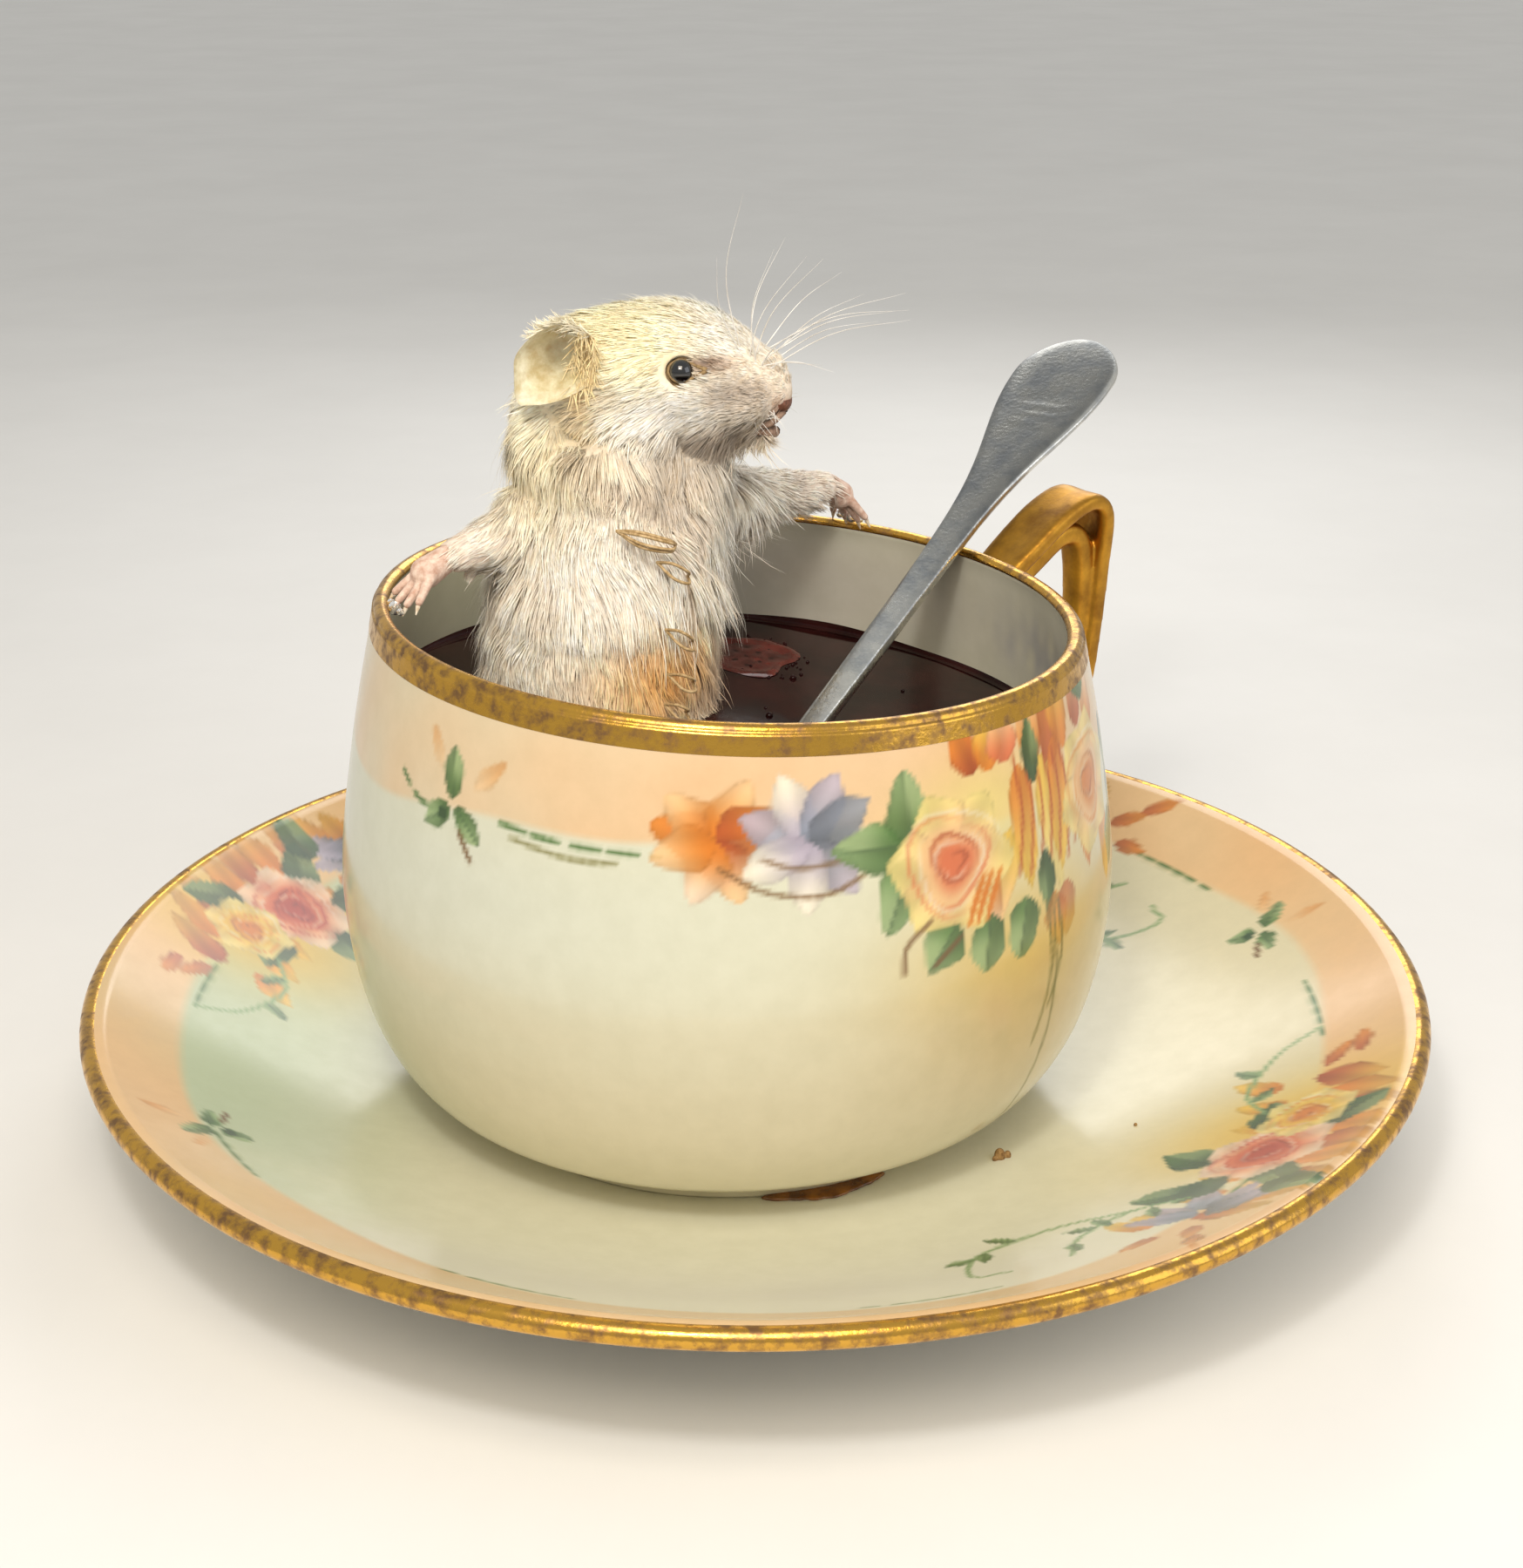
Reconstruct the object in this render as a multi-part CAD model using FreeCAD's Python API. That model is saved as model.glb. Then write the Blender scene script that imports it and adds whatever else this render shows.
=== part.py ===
"""A mounted mouse leaning out of a porcelain cup of cast-resin tea, with its teaspoon and saucer.

Millimetres, +Z up. The origin is on the saucer's axis at the plane that it stands on, and
+X points to the handle's side of the cup.
"""
import FreeCAD, Part
import math
import os

V = FreeCAD.Vector
UP = V(0, 0, 1)

# Saucer: turned porcelain dish on a foot ring
SAUCER_R = 75.0
SAUCER_H = 19.0
SAUCER_LIP = 2.2
SAUCER_FLOOR = 2.8
WELL_EASE = 1.6
SAUCER_FOOT_R = 44.0
SAUCER_FOOT_W = 3.0
SAUCER_FOOT_H = 1.6
WELL_Z = SAUCER_FOOT_H + SAUCER_FLOOR

# Cup: turned porcelain bowl, which stands a little off the saucer's centre
CUP_X = -3.1
CUP_FOOT_R = 29.3
CUP_FOOT_W = 2.8
CUP_FOOT_H = 2.0
CUP_BELLY_R = 42.8
CUP_RIM_R = 38.0
CUP_H = 56.7
CUP_WALL = 2.4
RIM_WALL = 1.6
RIM_ROUND = 0.6
CUP_FLOOR = 3.2
RIM_LEAN = 2.9
CUT_MARGIN = 5.0
FOOT_Z = WELL_Z
FLOOR_Z = FOOT_Z + 0.6 * CUP_FOOT_H + CUP_FLOOR
WELL_R = CUP_FOOT_R + abs(CUP_X) + WELL_EASE
RIM_Z = FOOT_Z + CUP_H
BELLY_Z = FOOT_Z + 0.48 * CUP_H

# Tea: resin cast in the bowl
TEA_DEPTH = 14.2
TEA_LEAN = 5.8
TEA_FILM = 0.05
TEA_Z = RIM_Z - TEA_DEPTH

# Handle: angular loop on the back right of the bowl
HANDLE_TURN = 35.0
HANDLE_REACH = 11.9
HANDLE_RISE = 6.3
HANDLE_LOW = 31.0
HANDLE_T = 3.0
HANDLE_W = 4.6
HANDLE_ROUND = 1.5

# Teaspoon: leans in the tea and rests on the rim
SPOON_REST = 43.0
SPOON_HEADING = 55.5
SPOON_PITCH = 24.0
SPOON_OUT = 37.0
SPOON_STEM = 83.0
SPOON_END_W = 6.7
SPOON_PADDLE = 0.19
SPOON_NECK_W = 1.3
SPOON_T = 1.0
SPOON_BOWL_L = 38.0
SPOON_BOWL_W = 24.0
SPOON_BOWL_DEEP = 6.5
SPOON_GAUGE = 0.9

# Mouse: hide over a wound body form, wired and set in the tea
MOUSE_X = -14.4
MOUSE_Y = 7.0
CHEST_TURN = -62.0
TORSO_A = 12.8
TORSO_B = 11.9
TORSO_CLEAR = 9.1
TORSO_SUNK = TEA_Z - FLOOR_Z - TORSO_CLEAR
TORSO_UP = 31.0
HIDE_T = 1.5
FIT_GAP = 0.05
HEAD_L = 27.4
HEAD_W = 7.9
HEAD_H = 7.7
HEAD_TURN = -9.0
HEAD_UP = 37.1
WIRE_R = 0.5
SPINE_R = 0.7
EYE_R = 1.35
EYE_AT = 15.4
EYE_TURN = 76.0
EYE_CLAY_R = 2.0
NOSE_R = 1.25
EAR_R = 6.2
EAR_SHEET = 0.4
EAR_W = 4.4
ARM_R = 4.2
WRIST_R = 1.45
SHOULDER_UP = 21.8
PAW_AT_LEFT = 65.0
PAW_AT_RIGHT = 190.0
PAW_IN_LEFT = 0.0
PAW_IN_RIGHT = 2.6
PAW_ARCH_LEFT = 3.6
PAW_ARCH_RIGHT = 1.8
PALM_R = 1.7
FINGER_L = 4.3
FINGER_R = 0.55
CLAW_L = 1.0
CLAW_R = 0.28
PAW_LIFT = 0.35
GLUE_R = 1.4
WHISKER_R = 0.11
WHISKER_L = 21.0
WHISKERS = 7
STITCH_R = 0.3
STITCH_L = 3.6
ANCHOR_SPREAD = 5.0


def write(name, shape):
    """Write one node and print its solids and volume."""
    solids = shape.Solids
    shape = solids[0] if len(solids) == 1 else Part.makeCompound(solids)
    shape.exportStep("parts/" + name + ".step")
    print(f"{name:22s} solids {len(solids)} volume {shape.Volume:10.2f} valid {shape.isValid()}")


def turned(degrees):
    """Level unit vector at an angle from +X towards +Y."""
    return V(math.cos(math.radians(degrees)), math.sin(math.radians(degrees)), 0)


def curve(points):
    """Smooth edge through points."""
    spline = Part.BSplineCurve()
    spline.interpolate(points)
    return spline.toShape()


def line(a, b):
    return Part.makeLine(a, b)


def lathe(edges, axis_x):
    """Turn a closed outline about the vertical line through axis_x."""
    return Part.Face(Part.Wire(edges)).revolve(V(axis_x, 0, 0), UP, 360)


def ring(centre, u, v, a, b):
    """Closed smooth oval of half-widths a along u and b along v."""
    count = 12
    points = []
    for i in range(count):
        t = 2 * math.pi * i / count
        points.append(centre + u * (a * math.cos(t)) + v * (b * math.sin(t)))
    spline = Part.BSplineCurve()
    spline.interpolate(points, PeriodicFlag=True)
    return Part.Wire(spline.toShape())


def skin(rings):
    """Smooth solid through a list of ovals."""
    return Part.makeLoft([ring(*r) for r in rings], True, False)


def rod(a, b, radius):
    """Round bar between two points."""
    return Part.makeCylinder(radius, (b - a).Length, a, b - a)


def wire_bar(points, radius):
    """Round wire through points, with ball corners."""
    bar = rod(points[0], points[1], radius)
    for a, b in zip(points[1:], points[2:]):
        bar = bar.fuse([Part.makeSphere(radius, a), rod(a, b, radius)])
    return bar


def pill(a, b, radius):
    """Round bar with ball ends."""
    return rod(a, b, radius).fuse([Part.makeSphere(radius, a), Part.makeSphere(radius, b)])


def taper(a, b, radius_a, radius_b):
    """Round tapered bar with ball ends."""
    cone = Part.makeCone(radius_a, radius_b, (b - a).Length, a, b - a)
    return cone.fuse([Part.makeSphere(radius_a, a), Part.makeSphere(radius_b, b)])


def above(height, lean):
    """Big block above a plane that leans towards +X and crosses the cup's axis at a height."""
    size = 6 * CUP_BELLY_R
    block = Part.makeBox(size, size, size, V(-size / 2, -size / 2, 0))
    block.rotate(V(0, 0, 0), V(0, 1, 0), lean)
    block.translate(V(CUP_X, 0, height))
    return block


def rim_point(degrees, radius=CUP_RIM_R - RIM_WALL / 2):
    """Point on the leaning rim plane at an angle round the cup."""
    out = turned(degrees) * radius
    return V(CUP_X, 0, RIM_Z) + out - UP * (out.x * math.tan(math.radians(RIM_LEAN)))


# ---------------------------------------------------------------- porcelain
def saucer():
    lip_in = V(SAUCER_R - SAUCER_LIP, 0, SAUCER_H)
    lip_out = V(SAUCER_R, 0, SAUCER_H - 0.45 * SAUCER_LIP)
    lip_low = V(SAUCER_R - 0.9 * SAUCER_LIP, 0, SAUCER_H - SAUCER_LIP)
    well = V(WELL_R, 0, WELL_Z)
    rise = SAUCER_H - WELL_Z
    run = lip_in.x - WELL_R
    top = [well]
    top += [V(WELL_R + run * t, 0, WELL_Z + rise * t ** 1.7) for t in (0.15, 0.4, 0.7)]
    top.append(lip_in)
    foot = SAUCER_FOOT_R
    low = V(foot + 0.5, 0, SAUCER_FOOT_H)
    under = [lip_low, V(foot + 0.5 * (lip_low.x - foot), 0, 0.44 * lip_low.z), low]
    inner = foot - SAUCER_FOOT_W
    edges = [
        line(V(0, 0, SAUCER_FOOT_H), V(0, 0, WELL_Z)),
        line(V(0, 0, WELL_Z), well),
        curve(top),
        Part.Arc(lip_in, lip_out, lip_low).toShape(),
        curve(under),
        line(low, V(foot, 0, 0)),
        line(V(foot, 0, 0), V(inner, 0, 0)),
        line(V(inner, 0, 0), V(inner, 0, SAUCER_FOOT_H)),
        line(V(inner, 0, SAUCER_FOOT_H), V(0, 0, SAUCER_FOOT_H)),
    ]
    return lathe(edges, 0)


def bowl_points(inset_belly, inset_rim):
    """Side of the bowl from the shoulder above the foot to past the rim, moved inwards."""
    past = CUP_RIM_R * math.tan(math.radians(RIM_LEAN)) + CUT_MARGIN
    belly = CUP_BELLY_R - inset_belly
    rim = CUP_RIM_R - inset_rim
    upper = RIM_Z - BELLY_Z
    return [
        V(CUP_X + belly - 0.04 * CUP_BELLY_R, 0, FOOT_Z + 0.25 * CUP_H),
        V(CUP_X + belly, 0, BELLY_Z),
        V(CUP_X + belly - 0.4 * (belly - rim), 0, BELLY_Z + 0.52 * upper),
        V(CUP_X + rim, 0, RIM_Z),
        V(CUP_X + rim - 0.15 * past, 0, RIM_Z + past),
    ]


def bowl_outside():
    foot = CUP_X + CUP_FOOT_R
    hip = V(foot + 0.4, 0, FOOT_Z + CUP_FOOT_H)
    turn = V(CUP_X + 0.855 * CUP_BELLY_R, 0, FOOT_Z + 0.1 * CUP_H)
    side = [hip, turn] + bowl_points(0, 0)
    inner = foot - CUP_FOOT_W
    under = FOOT_Z + 0.6 * CUP_FOOT_H
    axis_low = V(CUP_X, 0, under)
    axis_top = V(CUP_X, 0, side[-1].z)
    edges = [
        line(axis_low, V(inner, 0, under)),
        line(V(inner, 0, under), V(inner, 0, FOOT_Z)),
        line(V(inner, 0, FOOT_Z), V(foot, 0, FOOT_Z)),
        line(V(foot, 0, FOOT_Z), hip),
        curve(side),
        line(side[-1], axis_top),
        line(axis_top, axis_low),
    ]
    return lathe(edges, CUP_X)


def bowl_inside(film=0.0):
    """The cavity of the bowl, smaller by film."""
    floor = FLOOR_Z + film
    flat = V(CUP_X + 0.55 * CUP_BELLY_R, 0, floor)
    turn = V(CUP_X + 0.8 * CUP_BELLY_R - film, 0, floor + 0.055 * CUP_H)
    side = [flat, turn] + bowl_points(CUP_WALL + film, RIM_WALL + film)
    axis_low = V(CUP_X, 0, floor)
    axis_top = V(CUP_X, 0, side[-1].z)
    edges = [
        line(axis_low, flat),
        curve(side),
        line(side[-1], axis_top),
        line(axis_top, axis_low),
    ]
    return lathe(edges, CUP_X)


def cup():
    body = bowl_outside().cut(bowl_inside()).cut(above(RIM_Z, RIM_LEAN))
    normal = UP + V(math.tan(math.radians(RIM_LEAN)), 0, 0)
    on_rim = []
    for edge in body.Edges:
        middle = edge.valueAt((edge.FirstParameter + edge.LastParameter) / 2)
        if abs((middle - V(CUP_X, 0, RIM_Z)).dot(normal)) < 0.01:
            on_rim.append(edge)
    return body.makeFillet(RIM_ROUND, on_rim)


def handle(bowl):
    """Flat angular loop, which is cut to the bowl's outside and has a rib inside its top corner."""
    out = turned(HANDLE_TURN)
    side = UP.cross(out)
    base = V(CUP_X, 0, 0)

    def at(radius, height):
        return base + out * radius + UP * height

    reach = CUP_BELLY_R + HANDLE_REACH
    top = RIM_Z + HANDLE_RISE - 2.0
    inside = CUP_RIM_R - RIM_WALL / 2
    low = FOOT_Z + HANDLE_LOW
    outline = [
        at(inside, RIM_Z - 3.0),
        at(reach - 6.5, top),
        at(reach - 1.5, top - 0.6),
        at(reach, top - 5.5),
        at(reach - 1.2, low + 6.0),
        at(reach - 4.0, low),
        at(inside, low - 7.0),
    ]
    window = [
        at(inside, RIM_Z - 3.0 - HANDLE_T),
        at(reach - 6.5 - 0.45 * HANDLE_T, top - 1.9 * HANDLE_T),
        at(reach - 1.25 * HANDLE_T, top - 3.1 * HANDLE_T),
        at(reach - 1.2 - HANDLE_T, low + 6.0 + 0.4 * HANDLE_T),
        at(reach - 4.0 - HANDLE_T, low + HANDLE_T),
        at(inside, low - 7.0 + HANDLE_T),
    ]
    plate = Part.Face(Part.makePolygon(outline + outline[:1])).extrude(side * HANDLE_W)
    hole = Part.Face(Part.makePolygon(window + window[:1])).extrude(side * HANDLE_W)
    loop = plate.cut(hole)
    loop.translate(side * (-HANDLE_W / 2))
    across = []
    for edge in loop.Edges:
        start, end = edge.Vertexes[0].Point, edge.Vertexes[-1].Point
        middle = (start + end) * 0.5 - base
        if abs((end - start).dot(side)) > 0.9 * HANDLE_W and middle.dot(out) > CUP_BELLY_R + 1.0:
            across.append(edge)
    loop = loop.makeFillet(HANDLE_ROUND, across)
    rims = []
    for edge in loop.Edges:
        if all(p.dot(out) > 0 for p in [v.Point for v in edge.Vertexes]):
            flat = abs(abs((edge.CenterOfMass - base).dot(side)) - HANDLE_W / 2) < 0.01
            if flat and (edge.CenterOfMass - base).dot(out) > inside + 0.5:
                rims.append(edge)
    loop = loop.makeFillet(0.75 * HANDLE_ROUND, rims)
    return loop.cut(bowl)


# ---------------------------------------------------------------- teaspoon
def spoon_frame():
    """Place of the stem's middle line over the rim, and the spoon's three directions."""
    level = turned(SPOON_HEADING)
    pitch = math.radians(SPOON_PITCH)
    along = level * math.cos(pitch) + UP * math.sin(pitch)
    across = along.cross(UP)
    across.normalize()
    face = across.cross(along)
    seat = rim_point(SPOON_REST) + face * (SPOON_T + FIT_GAP)
    return seat, along, across, face


def teaspoon():
    seat, along, across, face = spoon_frame()
    end = seat + along * SPOON_OUT
    count = 15
    rings = []
    for i in range(count):
        share = i / (count - 1)
        paddle = math.exp(-((share - 0.1) / SPOON_PADDLE) ** 2)
        round_end = math.sqrt(max(0.0, 1 - max(0.0, 1 - share * 12) ** 2)) * 0.93 + 0.07
        wide = (SPOON_NECK_W * (1.9 - 0.9 * share) + (SPOON_END_W - 1.9 * SPOON_NECK_W) * paddle) * round_end
        thick = SPOON_T * (0.75 + 0.25 * share)
        centre = end - along * (SPOON_STEM * share) + face * (3.0 * (1 - share) ** 2)
        rings.append((centre, across, face, wide, thick))
    stem = skin(rings)
    bowl_mid = end - along * (SPOON_STEM + 0.44 * SPOON_BOWL_L) + face * (0.5 * SPOON_T)
    return stem.fuse(spoon_bowl(bowl_mid, along, across, face))


def spoon_bowl(centre, along, across, face):
    """Oval dish: the lower half of a stretched ball, hollowed by a smaller one."""
    def dish(inset):
        ball = Part.makeSphere(1.0)
        grow = FreeCAD.Matrix()
        grow.scale(SPOON_BOWL_L / 2 - inset, SPOON_BOWL_W / 2 - inset, SPOON_BOWL_DEEP - inset)
        return ball.transformGeometry(grow)

    half = Part.makeBox(SPOON_BOWL_L, SPOON_BOWL_W, SPOON_BOWL_DEEP + 1)
    half.translate(V(-SPOON_BOWL_L / 2, -SPOON_BOWL_W / 2, -SPOON_BOWL_DEEP - 1))
    bowl = dish(0).common(half).cut(dish(SPOON_GAUGE))
    place = FreeCAD.Matrix()
    place.A11, place.A21, place.A31 = along.x, along.y, along.z
    place.A12, place.A22, place.A32 = -across.x, -across.y, -across.z
    place.A13, place.A23, place.A33 = face.x, face.y, face.z
    place.A14, place.A24, place.A34 = centre.x, centre.y, centre.z
    bowl.Placement = FreeCAD.Placement(place)
    return bowl


# ---------------------------------------------------------------- mouse
FACE = turned(CHEST_TURN)
LEFT = UP.cross(FACE)
MOUSE = V(CUP_X + MOUSE_X, MOUSE_Y, TEA_Z)
HEAD_DIR = turned(HEAD_TURN)
HEAD_SIDE = UP.cross(HEAD_DIR)
NAPE = MOUSE + V(-6.0, 2.0, HEAD_UP)


def torso(inset):
    """Body from the seat under the tea to the neck, smaller by inset all round."""
    low = -TORSO_SUNK + inset
    stations = [
        (low, 0.35, 0, 0), (low + 3.0, 0.72, 0, 0), (-0.45 * TORSO_SUNK, 1.06, 0, 0), (0.0, 1.04, 0, 0),
        (0.4 * TORSO_UP, 1.0, 0.8, 0.3), (0.7 * TORSO_UP, 0.93, 2.6, 1.5), (TORSO_UP, 0.78, 3.0, 1.6),
    ]
    rings = []
    for height, share, lean_x, lean_y in stations:
        centre = MOUSE + V(lean_x, lean_y, height)
        rings.append((centre, LEFT, FACE, TORSO_A * share - inset, TORSO_B * share - inset))
    return skin(rings)


def head(inset):
    """Head from the nape to the nose, smaller by inset all round."""
    stations = [
        (0.0, 0.42, 0.45, 0.0), (0.12, 0.8, 0.78, 0.2), (0.28, 1.0, 0.92, 0.3), (0.48, 0.98, 1.0, 0.6),
        (0.65, 0.84, 0.97, 0.5), (0.79, 0.62, 0.8, 0.2), (0.9, 0.42, 0.54, -0.2), (1.0, 0.17, 0.2, -0.7),
    ]
    rings = []
    for share, wide, high, drop in stations:
        centre = NAPE + HEAD_DIR * (HEAD_L * share + inset * (1 - 2 * share)) + UP * drop
        half_w = max(HEAD_W * wide - inset, 0.5)
        half_h = max(HEAD_H * high - inset, 0.5)
        rings.append((centre, HEAD_SIDE, UP, half_w, half_h))
    return skin(rings)


def eye_axis(sign):
    """Outward direction of one eye, and the point on the head's middle line behind it."""
    turn = math.radians(EYE_TURN)
    out = HEAD_DIR * math.cos(turn) + HEAD_SIDE * (sign * math.sin(turn))
    out = out + UP * 0.28
    out.normalize()
    return out, NAPE + HEAD_DIR * EYE_AT + UP * 0.4


def surface_point(shape, origin, direction):
    """Where a ray from inside a shape leaves it."""
    ray = line(origin, origin + direction * 60)
    points = [v.Point for v in shape.common(ray).Vertexes]
    return max(points, key=lambda p: (p - origin).Length)


def ear(outer, sign):
    """Thin cupped sheet, which is part of a ball shell seated on the side of the head."""
    if sign < 0:
        seat = 0.25
        root_dir = HEAD_SIDE * -0.85 + UP * 0.3
        grow = HEAD_DIR * -0.9 + HEAD_SIDE * -0.32 + UP * 0.04
    else:
        seat = 0.36
        root_dir = HEAD_SIDE * 0.9 + UP * 0.3
        grow = HEAD_DIR * 0.95 + HEAD_SIDE * 0.25 + UP * 0.22
    root_dir.normalize()
    root = surface_point(outer, NAPE + HEAD_DIR * (seat * HEAD_L), root_dir)
    grow.normalize()
    opening = HEAD_SIDE * sign + HEAD_DIR * 0.45
    opening = opening - grow * opening.dot(grow)
    opening.normalize()
    middle = root + grow * (0.78 * EAR_W)
    centre = middle + opening * (EAR_R * 0.8)
    shell = Part.makeSphere(EAR_R, centre).cut(Part.makeSphere(EAR_R - EAR_SHEET, centre))
    bore = Part.makeCylinder(EAR_W, EAR_R, middle - opening * (EAR_R * 0.6), opening)
    return shell.common(bore).cut(outer)


def paw(wrist, reach, palm_up, bowl):
    """Palm with four fingers and their claws, at the end of a foreleg and clear of the bowl."""
    across = reach.cross(palm_up)
    across.normalize()
    knuckle = wrist + reach * 2.6
    body = taper(wrist, knuckle, WRIST_R, PALM_R)
    claws = []
    for i in range(4):
        spread = (i - 1.5) / 1.5
        root = knuckle + across * (spread * 1.15)
        way = reach + across * (0.42 * spread) - palm_up * 0.35
        way.normalize()
        length = FINGER_L * (1.0 - 0.18 * abs(spread))
        tip = root + way * length
        body = body.fuse(taper(root, tip, FINGER_R * 1.15, FINGER_R * 0.8))
        hook = way - palm_up * 0.3
        hook.normalize()
        claws.append(Part.makeCone(CLAW_R, 0.06, CLAW_L, tip + hook * (FINGER_R * 0.75), hook))
    return body.removeSplitter(), [claw.cut([body, bowl]) for claw in claws]


def whisker(root, way, bend, length):
    """Bristle on one long arc, which starts along way and bends towards bend."""
    axis = way.cross(bend)
    axis.normalize()
    radius = length * 1.7
    centre = root + bend * radius
    face = Part.Face(Part.Wire(Part.makeCircle(WHISKER_R, root, way)))
    return face.revolve(centre, axis, math.degrees(length / radius))


def whisker_pad(outer, sign):
    """Fan of bristles on one side of the muzzle."""
    made = []
    for i in range(WHISKERS):
        share = i / (WHISKERS - 1)
        lift = math.radians(100 - 118 * share)
        open_out = 0.2 + 0.5 * math.sin(math.pi * share)
        way = HEAD_DIR * math.cos(lift) + UP * math.sin(lift) + HEAD_SIDE * (sign * open_out)
        way.normalize()
        seat = NAPE + HEAD_DIR * (HEAD_L * (0.89 - 0.03 * (i % 2)))
        start = surface_point(outer, seat, HEAD_SIDE * sign + UP * (1.1 - 1.2 * share))
        bend = HEAD_DIR * (-0.7 * (1 - share)) - UP * (0.8 * share)
        bend = bend - way * bend.dot(way)
        bend.normalize()
        length = WHISKER_L * (1.0 - 0.6 * abs(share - 0.35))
        made.append(whisker(start, way, bend, length).cut(outer))
    return Part.makeCompound(made)


def stitches(outer):
    """Thread loops that close the cut along the chest."""
    made = []
    for share in (0.1, 0.25, 0.4, 0.55, 0.7):
        height = TORSO_UP * share
        middle = MOUSE + V(3.0 * share, 1.8 * share, height)
        spot = surface_point(outer, middle, FACE)
        along = LEFT + UP * (0.35 if share < 0.6 else -0.2)
        along.normalize()
        lift = FACE * (STITCH_R + 0.1)
        a = spot + lift - along * (STITCH_L / 2)
        b = spot + lift + along * (STITCH_L / 2)
        made.append(pill(a, b, STITCH_R).cut(outer))
    return Part.makeCompound(made)


def residue():
    """Drip of tea resin that set on the saucer beside the cup's foot."""
    gap = 0.3
    near = CUP_X + CUP_FOOT_R + 0.4 + gap
    far = near + 1.9
    points = [V(near, 0, FOOT_Z), V(near, 0, FOOT_Z + 1.2), V(far, 0, FOOT_Z)]
    face = Part.Face(Part.makePolygon(points + points[:1]))
    wedge = face.revolve(V(CUP_X, 0, 0), UP, 24)
    wedge.rotate(V(CUP_X, 0, 0), UP, -76)
    return wedge


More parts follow.
